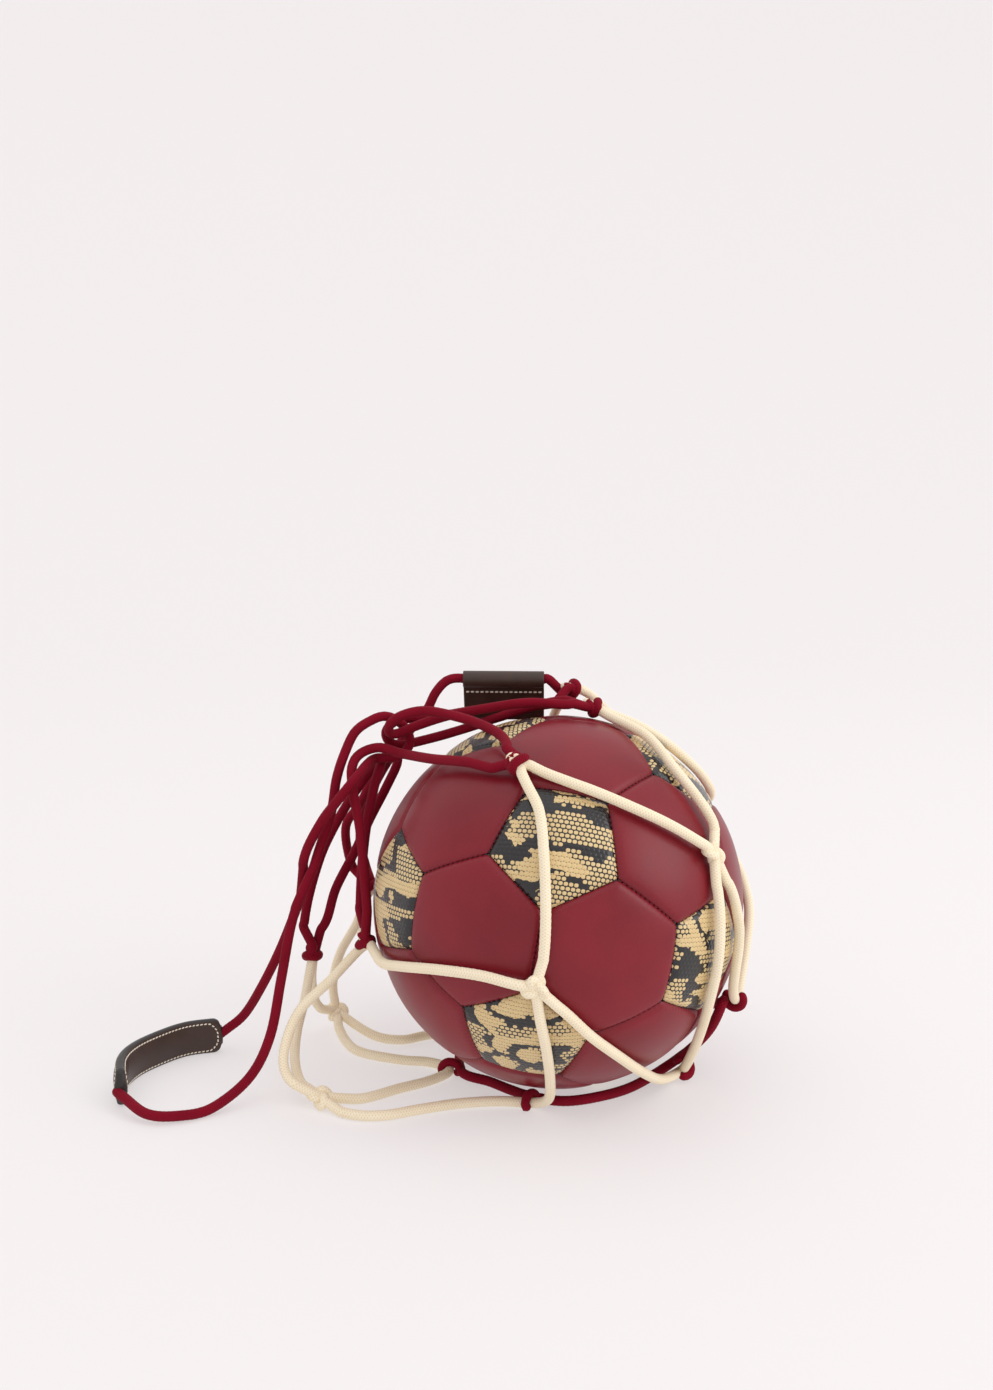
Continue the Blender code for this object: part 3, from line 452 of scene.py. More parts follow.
def tube(path, radius, sides, closed, relief):
    # A circle of that radius at each station, raised by the relief; open ends close with a rounded dome
    tangent, normal, across = framesAlong(path, closed)
    along = cumulative(path)
    around = np.arange(sides) / sides * 2 * np.pi
    radius = np.broadcast_to(np.asarray(radius, float), (len(path),))
    if not closed:
        dome = np.radians([90, 66, 42, 20])
        lift, shrink = np.sin(dome), np.cos(dome)
        path = np.vstack([path[:1] - tangent[:1] * (radius[0] * lift)[:, None], path,
                          path[-1:] + tangent[-1:] * (radius[-1] * lift[::-1])[:, None]])
        tangent, normal, across = (np.vstack([np.repeat(v[:1], 4, 0), v, np.repeat(v[-1:], 4, 0)])
                                   for v in (tangent, normal, across))
        along = np.concatenate([along[0] - radius[0] * lift, along, along[-1] + radius[-1] * lift[::-1]])
        radius = np.concatenate([radius[0] * shrink, radius, radius[-1] * shrink[::-1]])
    size = radius[:, None] * np.ones(sides)
    size = size + relief(along[:, None], around[None]) * (size / size.max())
    ring = path[:, None] + size[..., None] * (np.cos(around)[:, None] * normal[:, None]
                                              + np.sin(around)[:, None] * across[:, None])
    if closed:
        ring = np.vstack([ring, ring[:1]])
        along = np.append(along, along[-1] + np.linalg.norm(path[0] - path[-1]))
    uv = np.stack(np.broadcast_arrays(np.arange(sides + 1)[None] / sides, along[:, None]), -1)
    return grid(ring, uv=uv)


natural = dict(radius=cordRadius * 0.985, step=0.0007, sides=24, pitch=0.0034, strands=6, depth=0.00007)
darkRed = dict(radius=cordRadius * 0.985, step=0.0007, sides=24, pitch=0.0026, strands=8, depth=0.00011)


def reliefOf(look):
    return lambda along, around: braid(along, around, look["pitch"], look["strands"], look["depth"])


def cordTube(path, look, closed):
    line = smooth(path, look["step"], closed, samples=8)
    if closed:
        line = line[:-1]
    return line, tube(line, look["radius"], look["sides"], closed, reliefOf(look))


def addCord(name, path, look, body, material, stands, closed=False, bend=None):
    line, surface = cordTube(path, look, closed)
    piece = addPiece(name, [surface], body, [material], stands, bend=bend)
    if closed:
        line = np.vstack([line, line[:1]])
    route = spaced(line, cord["routeStep"])
    cordLengths[name] = round(float(cumulative(route)[-1]) * 1000)


cordLengths = {}        # millimetres, for the print at the end
carry = dict(overlap=5, intoPad=0.006, bendStart=(-0.145, -0.0145, 0.136), bendEnd=(-0.157, -0.0145, 0.098))
knot = dict(spread=0.00188, tube=0.00240, sides=22, ballHeight=0.0056, nearBall=0.010, floorHeight=0.0062,
            nearFloor=0.010, floorFacing=(-0.15, -0.45, 1.0), farFromFloor=0.02)


def knotPlace(name):        # a knot is where the cord that carries it is widest, snug to ball or floor
    path, radius = placedCords[name]
    at = path[radius.argmax()].copy()
    out = at - ballCentre
    far = np.linalg.norm(out)
    if far < ball["radius"] + knot["nearBall"]:
        at = ballCentre + out / far * (ball["radius"] + knot["ballHeight"])
    if at[2] < knot["nearFloor"]:
        at[2] = knot["floorHeight"]
    return at


# Each hitch is one dark cord's end, a loop and a half round the light cord's bight; sizes in metres
hitch = dict(bightPull=0.4, apexShare=0.5, collarAlong=0.0020, ballClear=0.0068, strandStop=0.0155,
             bend=(0.0062, 0.0036, 0.0002), endAcross=0.0040,
             pullAlong=0.0012, pullOut=0.0008, pullReach=0.0085,
             ring=dict(wide=0.0047, tall=0.0037, dip=0.0012, wave=0.0007, tube=0.0027),
             second=dict(above=0.0030, wide=0.0043, tall=0.0034, sunk=0.0004, rise=0.0016, wave=0.0005,
                         tube=0.0023),
             tip=dict(above=0.0018, long=0.0040, wide=0.0019, out=0.0012, rise=0.0016, tube=0.0026))
wrapStep = 0.0006

meshKnotAt = {route[-1]: knotPlace(f"upper_cord_{n}") for n, route in enumerate(upperCords, 1)}
hitchAt = {route[-1]: placedCords[f"top_cord_{n}"] for n, route in enumerate(topCords, 1)}
hitchAt = {bight: path[radius.argmax()] for bight, (path, radius) in hitchAt.items()}


def hitchAxes(bight):        # along the strands, out from the ball, and across; and the collar's middle
    at = hitchAt[bight]
    strands = []
    for n, route in enumerate(topCords, 1):
        path, radius = placedCords[f"top_cord_{n}"]
        if route[0] == bight:
            strands.append(path[3])
        if route[-1] == bight:
            strands.append(path[radius.argmax() - 4])
    along = unit(sum(unit(p - at) for p in strands) + hitch["bightPull"] * unit(at - np.array(bight)))
    out = unit(at - ballCentre)
    out = unit(out - dots(out, along) * along)
    across = np.cross(along, out)
    apex = np.array(bight) + hitch["apexShare"] * (at - hitchPlace(bight))
    collar = apex + along * hitch["collarAlong"]
    far = np.linalg.norm(collar - ballCentre)
    collar = ballCentre + (collar - ballCentre) * max(1.0, (ball["radius"] + hitch["ballClear"]) / far)
    return along, out, across, collar


hitchFrames = {bight: hitchAxes(bight) for bight in neckBights}


def pulled(path, target, reach):        # the nearest point goes to the target, and its neighbours follow less
    along = cumulative(path)
    nearest = np.linalg.norm(path - target, axis=1).argmin()
    weight = np.exp(-((along - along[nearest]) / reach)**2)[:, None]
    return path + weight * (target - path[nearest])


def strandEnd(path, bight, last):        # a top cord runs in beside its partner and ends in the collar
    along, out, across, collar = hitchFrames[bight]
    if not last:
        path = path[::-1]
    path = path[np.linalg.norm(path - collar, axis=1) > hitch["strandStop"]]
    sign = np.sign(dots(path[-2] - collar, across))[0]
    ahead, aside, raised = hitch["bend"]
    path = np.vstack([path, collar + along * ahead + across * sign * aside + out * raised,
                      collar + across * sign * hitch["endAcross"]])
    return path if last else path[::-1]


def trefoil(at, out, turn, seed):        # a closed overhand knot: three lobes that pass over and under
    t = np.linspace(0, 2 * np.pi, 121)[:-1]
    first = unit(turn - dots(turn, out) * out)
    second = np.cross(out, first)
    x = np.sin(t) + 2 * np.sin(2 * t)
    y = np.cos(t) - 2 * np.cos(2 * t)
    z = -np.sin(3 * t)
    wobble = 1 + 0.07 * np.sin(2 * t + seed) + 0.05 * np.sin(5 * t + 2 * seed)
    return at + knot["spread"] * (x[:, None] * first * 1.06 + y[:, None] * second * 0.94
                                  + z[:, None] * out * 1.05) * wobble[:, None]


def addNet():
    for n, route in enumerate(upperCords, 1):
        at = meshKnotAt[route[-1]]
        outward = unit(at - ballCentre if at[2] > knot["farFromFloor"] else np.array(knot["floorFacing"]))
        path = placedCords[f"upper_cord_{n}"][0]
        turn = unit(path[-8] - at + 1e-6)
        loop = trefoil(at, outward, turn, 0.7 * n)
        surface = tube(loop, knot["tube"], knot["sides"], True, reliefOf(natural))
        meshKnotPieces[n] = addPiece(f"meshKnot{n}", [surface], "net",
                                     [materials["naturalCord"]])
    for n, bight in enumerate(neckBights, 1):
        addHitch(n, bight)
    for n, route in enumerate(upperCords, 1):
        path, radius = placedCords[f"upper_cord_{n}"]
        path = np.vstack([meshKnotAt[route[0]], path[1:radius.argmax() - 1], meshKnotAt[route[-1]]])
        bight = next(point for point in route if point in neckBights)
        along, out, across, collar = hitchFrames[bight]
        path = pulled(path, collar - along * hitch["pullAlong"] - out * hitch["pullOut"], hitch["pullReach"])
        addCord(f"upperCord{n}", path, natural, "net", materials["naturalCord"],
                [f"upper_cord_{n}"])
    for n, route in enumerate(lowerCords, 1):
        path = placedCords[f"lower_cord_{n}"][0]
        path = np.vstack([meshKnotAt[route[0]], path[1:-1], meshKnotAt[route[-1]]])
        addCord(f"lowerCord{n}", path, natural, "net", materials["naturalCord"],
                [f"lower_cord_{n}"])
    for n, route in enumerate(topCords, 1):
        path = strandEnd(placedCords[f"top_cord_{n}"][0], route[-1], True)
        path = strandEnd(path, route[0], False)
        addCord(f"topCord{n}", path, darkRed, "net", materials["darkRedCord"],
                [f"top_cord_{n}"])
    ring = placedCords["base_ring"][0]
    wraps = [addBaseWrap(n, ring) for n in range(1, 7)]
    addCord("baseRing", ring, darkRed, "net", materials["darkRedCord"], ["base_ring"],
            closed=True)
    upper, near, far = (placedCords[name][0] for name in ("carry_hitch", "carry_cord_near", "carry_cord_far"))
    overlap = carry["overlap"]
    addCord("carryHitch", upper[overlap:-overlap], darkRed, "net", materials["darkRedCord"],
            ["carry_hitch"])
    # each leg starts back along the hitch, so that it is one cord through the fold
    for name, lead, low, node in (("carryCordNear", upper[overlap:1:-1], near, "carry_cord_near"),
                                  ("carryCordFar", upper[-overlap - 1:-2], far, "carry_cord_far")):
        into = low[-1] + carry["intoPad"] * unit(low[-1] - low[-3])
        addCord(name, np.vstack([lead, low[1:], into]), darkRed, ("net", "carry_loop"),
                materials["darkRedCord"], [node], bend=(carry["bendStart"], carry["bendEnd"]))


def addHitch(n, bight):
    # The dark cord's loops are ellipses round the light cord's doubled end, lower in front than behind
    along, out, across, collar = hitchFrames[bight]
    t = np.linspace(0, 2 * np.pi, 73)[:-1, None]
    p = hitch["ring"]
    ring = (collar + p["wide"] * np.cos(t) * across + p["tall"] * np.sin(t) * out
            + along * (-p["dip"] * np.sin(t) + p["wave"] * np.cos(2 * t + n)))
    q = hitch["second"]
    second = (collar + along * q["above"] + q["wide"] * np.cos(t) * across
              + (q["tall"] * np.sin(t) - q["sunk"]) * out
              + along * (q["rise"] * np.sin(t) - q["wave"] * np.cos(2 * t)))
    loops = [tube(loop, size, knot["sides"], True, reliefOf(darkRed)) for loop, size in ((ring, p["tube"]),
                                                                                       (second, q["tube"]))]
    collars[n] = addPiece(f"topHitch{n}", loops, "net", [materials["darkRedCord"]])
    # The light cord's end turns back inside the loop and shows between the strands
    r = hitch["tip"]
    turn = np.linspace(-0.25 * np.pi, 1.25 * np.pi, 25)[:, None]
    tip = (collar + along * (r["above"] + r["long"] * np.sin(turn)) + across * r["wide"] * np.cos(turn)
           + out * (r["out"] + r["rise"] * np.sin(turn)))
    tip = spaced(tip, wrapStep)
    bightTips[n] = addPiece(f"bightTip{n}", [tube(tip, r["tube"], knot["sides"], False, reliefOf(natural))],
                            "net", [materials["naturalCord"]])


baseWrap = dict(fromAngle=-35, toAngle=200, reach=0.0053, shift=0.0008, rise=0.0050, lean=0.0012, tube=0.0026,
                floorClear=0.00275, ballClear=0.0031)


def addBaseWrap(n, ring):
    # An arch of the ring's cord over the lower cord, where the two come nearest
    p = baseWrap
    lower = placedCords[f"lower_cord_{n}"][0]
    away = np.linalg.norm(ring[:, None] - lower, axis=2)
    i, j = np.unravel_index(away.argmin(), away.shape)
    at, tangent = lower[j], unit(lower[min(j + 1, len(lower) - 1)] - lower[j - 1])
    toward = ring[i] - at
    toward = unit(toward - dots(toward, tangent) * tangent)
    rise = np.cross(tangent, toward)
    outward = unit(at - ballCentre) if at[2] > knot["farFromFloor"] else np.array([0.0, 0.0, 1.0])
    rise = rise * np.sign(dots(rise, outward))
    t = np.radians(np.linspace(p["fromAngle"], p["toAngle"], 48))[:, None]
    arch = (at + toward * (p["shift"] + p["reach"] * np.cos(t)) + rise * p["rise"] * np.sin(t)
            + tangent * p["lean"] * np.cos(t))
    arch[:, 2] = np.maximum(arch[:, 2], p["floorClear"])
    out = arch - ballCentre
    far = np.linalg.norm(out, axis=1, keepdims=True)
    arch = ballCentre + out * np.maximum(1, (ball["radius"] + p["ballClear"]) / far)
    arch = spaced(arch, wrapStep)
    return addPiece(f"baseWrap{n}", [tube(arch, p["tube"], knot["sides"], False, reliefOf(darkRed))],
                    "net", [materials["darkRedCord"]])


meshKnotPieces, collars, bightTips = {}, {}, {}


def finish(name, colour, roughness, **constants):
    material = bpy.data.materials.new(name)
    material.use_nodes = True
    shader = material.node_tree.nodes["Principled BSDF"]
    shader.inputs["Base Color"].default_value = (*colour, 1)
    shader.inputs["Roughness"].default_value = roughness
    sockets = dict(coat="Coat Weight", coatRoughness="Coat Roughness", sheen="Sheen Weight",
                   sheenRoughness="Sheen Roughness", specular="Specular IOR Level")
    for key, value in constants.items():
        shader.inputs[sockets[key]].default_value = value
    return material, material.node_tree, shader


def connect(tree, socket, value):
    if isinstance(value, bpy.types.NodeSocket):
        tree.links.new(value, socket)
    else:
        socket.default_value = value


def calc(tree, operation, *values):
    node = tree.nodes.new("ShaderNodeMath")
    node.operation = operation
    for socket, value in zip(node.inputs, values):
        connect(tree, socket, value)
    return node.outputs[0]


def mapped(tree, value, low, high, newLow=0.0, newHigh=1.0, kind="LINEAR"):
    node = tree.nodes.new("ShaderNodeMapRange")
    node.interpolation_type = kind
    for socket, given in zip(node.inputs, (value, low, high, newLow, newHigh)):
        connect(tree, socket, given)
    return node.outputs[0]


def mixed(tree, factor, first, second):
    node = tree.nodes.new("ShaderNodeMix")
    node.data_type = "RGBA"
    for socket, value in ((node.inputs["Factor"], factor), (node.inputs[6], first), (node.inputs[7], second)):
        connect(tree, socket, (*value, 1) if isinstance(value, tuple) and len(value) == 3 else value)
    return node.outputs[2]


def noise(tree, scale, detail=2.0, vector=None, roughness=0.5):
    node = tree.nodes.new("ShaderNodeTexNoise")
    node.inputs["Scale"].default_value = scale
    node.inputs["Detail"].default_value = detail
    node.inputs["Roughness"].default_value = roughness
    connect(tree, node.inputs["Vector"], vector if vector is not None else objectPlace(tree))
    return node.outputs["Fac"]


def cells(tree, scale):
    node = tree.nodes.new("ShaderNodeTexVoronoi")
    node.inputs["Scale"].default_value = scale
    tree.links.new(objectPlace(tree), node.inputs["Vector"])
    return node.outputs["Distance"]


def objectPlace(tree):
    found = [node for node in tree.nodes if node.bl_idname == "ShaderNodeTexCoord"]
    return (found[0] if found else tree.nodes.new("ShaderNodeTexCoord")).outputs["Object"]


def surfacePlace(tree):        # the piece's own map, split into its two parts
    node = tree.nodes.new("ShaderNodeUVMap")
    node.uv_map = "surfaceMap"
    split = tree.nodes.new("ShaderNodeSeparateXYZ")
    tree.links.new(node.outputs["UV"], split.inputs[0])
    return split.outputs[0], split.outputs[1]


def joined(tree, x, y, z):
    node = tree.nodes.new("ShaderNodeCombineXYZ")
    for socket, value in zip(node.inputs, (x, y, z)):
        connect(tree, socket, value)
    return node.outputs[0]


def bumped(tree, shader, height, distance, strength=1.0, under=None):
    node = tree.nodes.new("ShaderNodeBump")
    node.inputs["Distance"].default_value = distance
    node.inputs["Strength"].default_value = strength
    tree.links.new(height, node.inputs["Height"])
    if under is not None:
        tree.links.new(under, node.inputs["Normal"])
    if shader is not None:
        tree.links.new(node.outputs[0], shader.inputs["Normal"])
    return node.outputs[0]


redLeather = dict(colour=(0.222, 0.0070, 0.0175), deep=(0.172, 0.0045, 0.0120), roughness=0.36,
                  grainScale=1500, grainDepth=0.00005, creaseScale=75, creaseDepth=0.00012, specular=0.36)


def makeRedLeather():
    # Fine cell grain over faint broad creases; the colour drifts a little and the gloss with it
    p = redLeather
    material, tree, shader = finish("redLeather", p["colour"], p["roughness"], specular=p["specular"])
    drift = noise(tree, 24, 4)
    speck = noise(tree, 900, 3)
    shade = calc(tree, "ADD", calc(tree, "MULTIPLY", drift, 0.75), calc(tree, "MULTIPLY", speck, 0.25))
    colour = mixed(tree, mapped(tree, shade, 0.34, 0.62), p["deep"], p["colour"])
    tree.links.new(colour, shader.inputs["Base Color"])
    tree.links.new(mapped(tree, drift, 0.3, 0.7, p["roughness"] - 0.05, p["roughness"] + 0.06),
                   shader.inputs["Roughness"])
    crease = bumped(tree, None, noise(tree, p["creaseScale"], 5), p["creaseDepth"], 0.5)
    bumped(tree, shader, cells(tree, p["grainScale"]), p["grainDepth"], 0.35, crease)
    return material


# Scale sizes in metres and shares of a cell; the zone and band numbers are waves per metre along and across
snake = dict(cream=(0.66, 0.475, 0.215), creamPale=(0.74, 0.58, 0.30), brown=(0.23, 0.13, 0.045),
             black=(0.0085, 0.0075, 0.0080), rowHeight=0.0026, cellWidth=0.0029,
             fullSize=0.525, smallSize=0.410,
             roundness=2.6, zone=(22.0, 40.0), band=(26.0, 44.0), bandWidth=0.040, ragged=0.07,
             raggedScale=300.0, roughness=0.36, scaleHeight=0.00022)


def makeSnakeLeather():
    # Staggered rows of rounded scales, either full and close or small with black round them, and black bands
    p = snake
    material, tree, shader = finish("snakeLeather", p["cream"], p["roughness"], coat=0.22, coatRoughness=0.22)

    def minus(a, b):
        return calc(tree, "SUBTRACT", a, b)

    def times(a, b):
        return calc(tree, "MULTIPLY", a, b)

    def plus(a, b):
        return calc(tree, "ADD", a, b)

    x, y = surfacePlace(tree)
    rowPlace = calc(tree, "DIVIDE", y, p["rowHeight"])
    row = calc(tree, "FLOOR", rowPlace)
    stagger = times(calc(tree, "FLOORED_MODULO", row, 2.0), 0.5)
    columnPlace = plus(calc(tree, "DIVIDE", x, p["cellWidth"]), stagger)
    column = calc(tree, "FLOOR", columnPlace)
    middleX = times(minus(column, stagger), p["cellWidth"])
    middleY = times(row, p["rowHeight"])
    # distance from the cell's middle, with a power a little over 2, so that a scale is a circle made squarer
    parts = [calc(tree, "POWER", calc(tree, "ABSOLUTE", minus(minus(place, cell), 0.5)), p["roundness"])
             for place, cell in ((columnPlace, column), (rowPlace, row))]
    far = calc(tree, "POWER", plus(*parts), 1 / p["roundness"])

    # One slow noise says where the scales are full; black bands lie where a second passes its middle value.
    # Full patches end anywhere. Small scales are kept or dropped whole: there the second is read per scale
    def slowNoise(atX, atY, waves, depth):
        quick = joined(tree, times(atX, p["raggedScale"]), times(atY, p["raggedScale"]), depth)
        slow = joined(tree, times(atX, waves[0]), times(atY, waves[1]), depth)
        return plus(noise(tree, 1.0, 1.5, slow), times(minus(noise(tree, 1.0, 2.0, quick), 0.5), p["ragged"]))

    def clearOfBand(atX, atY):
        fromMiddle = calc(tree, "ABSOLUTE", minus(slowNoise(atX, atY, p["band"], 7.0), 0.5))
        return calc(tree, "GREATER_THAN", fromMiddle, p["bandWidth"])

    full = times(mapped(tree, slowNoise(x, y, p["zone"], 0.0), 0.515, 0.522), clearOfBand(x, y))
    small = times(minus(1.0, full), clearOfBand(middleX, middleY))
    wide = mapped(tree, minus(p["fullSize"], far), -0.03, 0.035)
    narrow = mapped(tree, minus(p["smallSize"], far), -0.03, 0.035)
    scaleHere = plus(times(wide, full), times(narrow, small))
    tone = mixed(tree, noise(tree, 160, 2), p["cream"], p["creamPale"])
    ground = mixed(tree, times(full, 0.9), p["black"], p["brown"])
    tree.links.new(mixed(tree, scaleHere, ground, tone), shader.inputs["Base Color"])
    tree.links.new(mapped(tree, scaleHere, 0.0, 1.0, 0.27, 0.42), shader.inputs["Roughness"])
    dome = mapped(tree, far, 0.12, 0.55, 1.0, 0.0, "SMOOTHSTEP")
    grain = bumped(tree, None, noise(tree, 2600, 3), 0.00003, 0.5)
    bumped(tree, shader, dome, p["scaleHeight"], 0.75, grain)
    return material


def makeCord(name, colour, dark, pale, ribPitch, ribDepth, strands, sheen, roughness):
    # Ribs are fine chevrons on the cord's own map: u round it and v along it in metres
    material, tree, shader = finish(name, colour, roughness, sheen=sheen, sheenRoughness=0.45, specular=0.12)
    u, v = surfacePlace(tree)
    turns = calc(tree, "MULTIPLY", u, 2 * math.pi * strands)
    phase = calc(tree, "MULTIPLY", v, 2 * math.pi / ribPitch)
    left = calc(tree, "SINE", calc(tree, "ADD", phase, turns))
    right = calc(tree, "SINE", calc(tree, "SUBTRACT", phase, turns))
    rib = mapped(tree, calc(tree, "MAXIMUM", left, right), -0.6, 1.0)
    fuzz = noise(tree, 1900, 4, roughness=0.7)
    drift = noise(tree, 55, 3)
    height = calc(tree, "ADD", calc(tree, "MULTIPLY", rib, 0.8), calc(tree, "MULTIPLY", fuzz, 0.5))
    # The colour follows the ribs and the fuzz, which also make the bump: darker in the grooves between strands
    # is painted shade and paler on the crests is painted highlight; the slow drift is random tone
    shade = calc(tree, "ADD", calc(tree, "MULTIPLY", rib, 0.5),
                 calc(tree, "ADD", calc(tree, "MULTIPLY", fuzz, 0.4), calc(tree, "MULTIPLY", drift, 0.35)))
    low = mixed(tree, mapped(tree, shade, 0.25, 0.62), dark, colour)
    tree.links.new(mixed(tree, mapped(tree, shade, 0.62, 1.05), low, pale), shader.inputs["Base Color"])
    bumped(tree, shader, height, ribDepth, 0.8)
    return material


def makeBrownLeather(name, colour, deep, roughness):
    material, tree, shader = finish(name, colour, roughness, coat=0.08, coatRoughness=0.35)
    drift = noise(tree, 90, 5)
    tree.links.new(mixed(tree, mapped(tree, drift, 0.35, 0.65), deep, colour), shader.inputs["Base Color"])
    tree.links.new(mapped(tree, drift, 0.3, 0.7, roughness - 0.05, roughness + 0.08), shader.inputs["Roughness"])
    soft = bumped(tree, None, noise(tree, 160, 4), 0.00015, 0.4)
    bumped(tree, shader, cells(tree, 1700), 0.00006, 0.45, soft)
    return material


def makeThread(name, colour, dark):
    material, tree, shader = finish(name, colour, 0.6, sheen=0.2)
    twist = noise(tree, 2400, 2)
    # One noise gives both the bump and the colour, so the thread is darker where its surface is low: painted
    # shade in its hollows, over random tone
    tree.links.new(mixed(tree, mapped(tree, twist, 0.35, 0.65), dark, colour), shader.inputs["Base Color"])
    bumped(tree, shader, twist, 0.00006, 0.6)
    return material


def makeRubber(name, colour, pale, roughness):
    material, tree, shader = finish(name, colour, roughness)
    drift = mapped(tree, noise(tree, 120, 4), 0.35, 0.7)
    tree.links.new(mixed(tree, drift, colour, pale), shader.inputs["Base Color"])
    bumped(tree, shader, noise(tree, 900, 3), 0.00004, 0.5)
    return material


def makeLining():
    material, tree, shader = finish("liningCloth", (0.60, 0.58, 0.52), 0.85, sheen=0.2)
    split = tree.nodes.new("ShaderNodeSeparateXYZ")
    tree.links.new(objectPlace(tree), split.inputs[0])
    threadPitch = 0.0009
    waves = [calc(tree, "SINE", calc(tree, "MULTIPLY", split.outputs[k], 2 * math.pi / threadPitch))
             for k in range(3)]
    weave = calc(tree, "MULTIPLY", calc(tree, "ADD", waves[0], waves[1]), waves[2])
    # The colour follows the weave's height: darker in its hollows is painted shade and lighter on the raised
    # threads is painted highlight
    tree.links.new(mixed(tree, mapped(tree, weave, -1.0, 1.0), (0.46, 0.44, 0.38), (0.66, 0.64, 0.58)),
                   shader.inputs["Base Color"])
    bumped(tree, shader, weave, 0.00008, 0.5)
    return material


materials = dict(
    redLeather=makeRedLeather(),
    snakeLeather=makeSnakeLeather(),
    # each cord: its colour, a darker colour for the painted shade in its grooves mixed with random tone, and a
    # paler colour for the painted highlight on its crests
    naturalCord=makeCord("naturalCord", (0.90, 0.79, 0.57), (0.76, 0.62, 0.40), (0.93, 0.86, 0.70),
                         0.0017, 0.00007, 6, 0.10, 0.85),
    darkRedCord=makeCord("darkRedCord", (0.195, 0.0015, 0.0130), (0.085, 0.0005, 0.0050),
                         (0.290, 0.0050, 0.0240),
                         0.0012, 0.00018, 8, 0.03, 0.80),
    brownLeather=makeBrownLeather("brownLeather", (0.0500, 0.0235, 0.0150), (0.0360, 0.0160, 0.0100), 0.50),
    edgePaint=makeBrownLeather("edgePaint", (0.0150, 0.0110, 0.0100), (0.0090, 0.0070, 0.0065), 0.40),
    # each thread's second colour is the painted shade in its hollows, mixed with random tone
    creamThread=makeThread("creamThread", (0.92, 0.86, 0.74), (0.78, 0.70, 0.56)),
    darkThread=makeThread("darkThread", (0.030, 0.0025, 0.0050), (0.014, 0.0010, 0.0022)),
    bladderRubber=makeRubber("bladderRubber", (0.030, 0.028, 0.026), (0.045, 0.042, 0.039), 0.55),
    valveRubber=makeRubber("valveRubber", (0.040, 0.037, 0.034), (0.065, 0.060, 0.055), 0.50),
    liningCloth=makeLining(),
)
print("finishes:", len(materials))

panel = dict(thickness=0.0030, gap=0.00045, edgeDrop=0.0016, edgeRound=0.0046, puff=0.0008, puffWidth=0.021,
             stitches=14, pucker=0.00030, puckerWidth=0.0019, perStitch=4, valveHole=0.0060, sunk=0.0010,
             cornerCut=0.012, cornerReach=0.0022, mapTurn=0.35)
stitch = dict(length=0.0021, radius=0.00042, sunk=0.00035, slant=0.16, floorClear=0.0006)


def patternCorners():
    # The icosahedron's 12 corners are the five-sided panels' middles and its 20 faces the six-sided ones';
    # each panel corner divides an icosahedron edge in three
    golden = (1 + 5**0.5) / 2
    signs = [(a, b) for a in (-1, 1) for b in (-golden, golden)]
    corners = unit(np.array([v for a, b in signs for v in ((0, a, b), (a, b, 0), (b, 0, a))], float))
    first = unit(np.array(ball["frontPentagon"]))
    second = np.array(ball["upperPentagon"])
    start = corners[0]
    near = corners[np.argsort(-(corners @ start))[1]]
    turn = turnOf(first, second) @ turnOf(start, near).T
    corners = corners @ turn.T
    close = corners @ corners.T
    neighbours = (close > 0.4) & (close < 0.9)        # an icosahedron's edge spans the angle of cosine 0.447
    pentagons = []
    for k in range(12):
        around = corners[neighbours[k]]
        pentagons.append(inOrder(corners[k], unit(corners[k] * 2 / 3 + around / 3)))
    hexagons = []
    for a in range(12):
        for b in range(a + 1, 12):
            for c in range(b + 1, 12):
                if neighbours[a, b] and neighbours[b, c] and neighbours[a, c]:
                    trio = corners[[a, b, c]]
                    points = [trio[i] * 2 / 3 + trio[j] / 3 for i in range(3) for j in range(3) if i != j]
                    hexagons.append(inOrder(unit(trio.sum(0)), unit(np.array(points))))
    return pentagons, hexagons


def turnOf(main, other):
    z = unit(main)
    x = unit(other - z * (other @ z))
    return np.stack([x, np.cross(z, x), z], 1)


def inOrder(middle, points):        # the points counted anticlockwise round the middle, seen from outside
    x = unit(points[0] - middle * (points[0] @ middle))
    y = np.cross(middle, x)
    return middle, points[np.argsort(np.arctan2(points @ y, points @ x))]


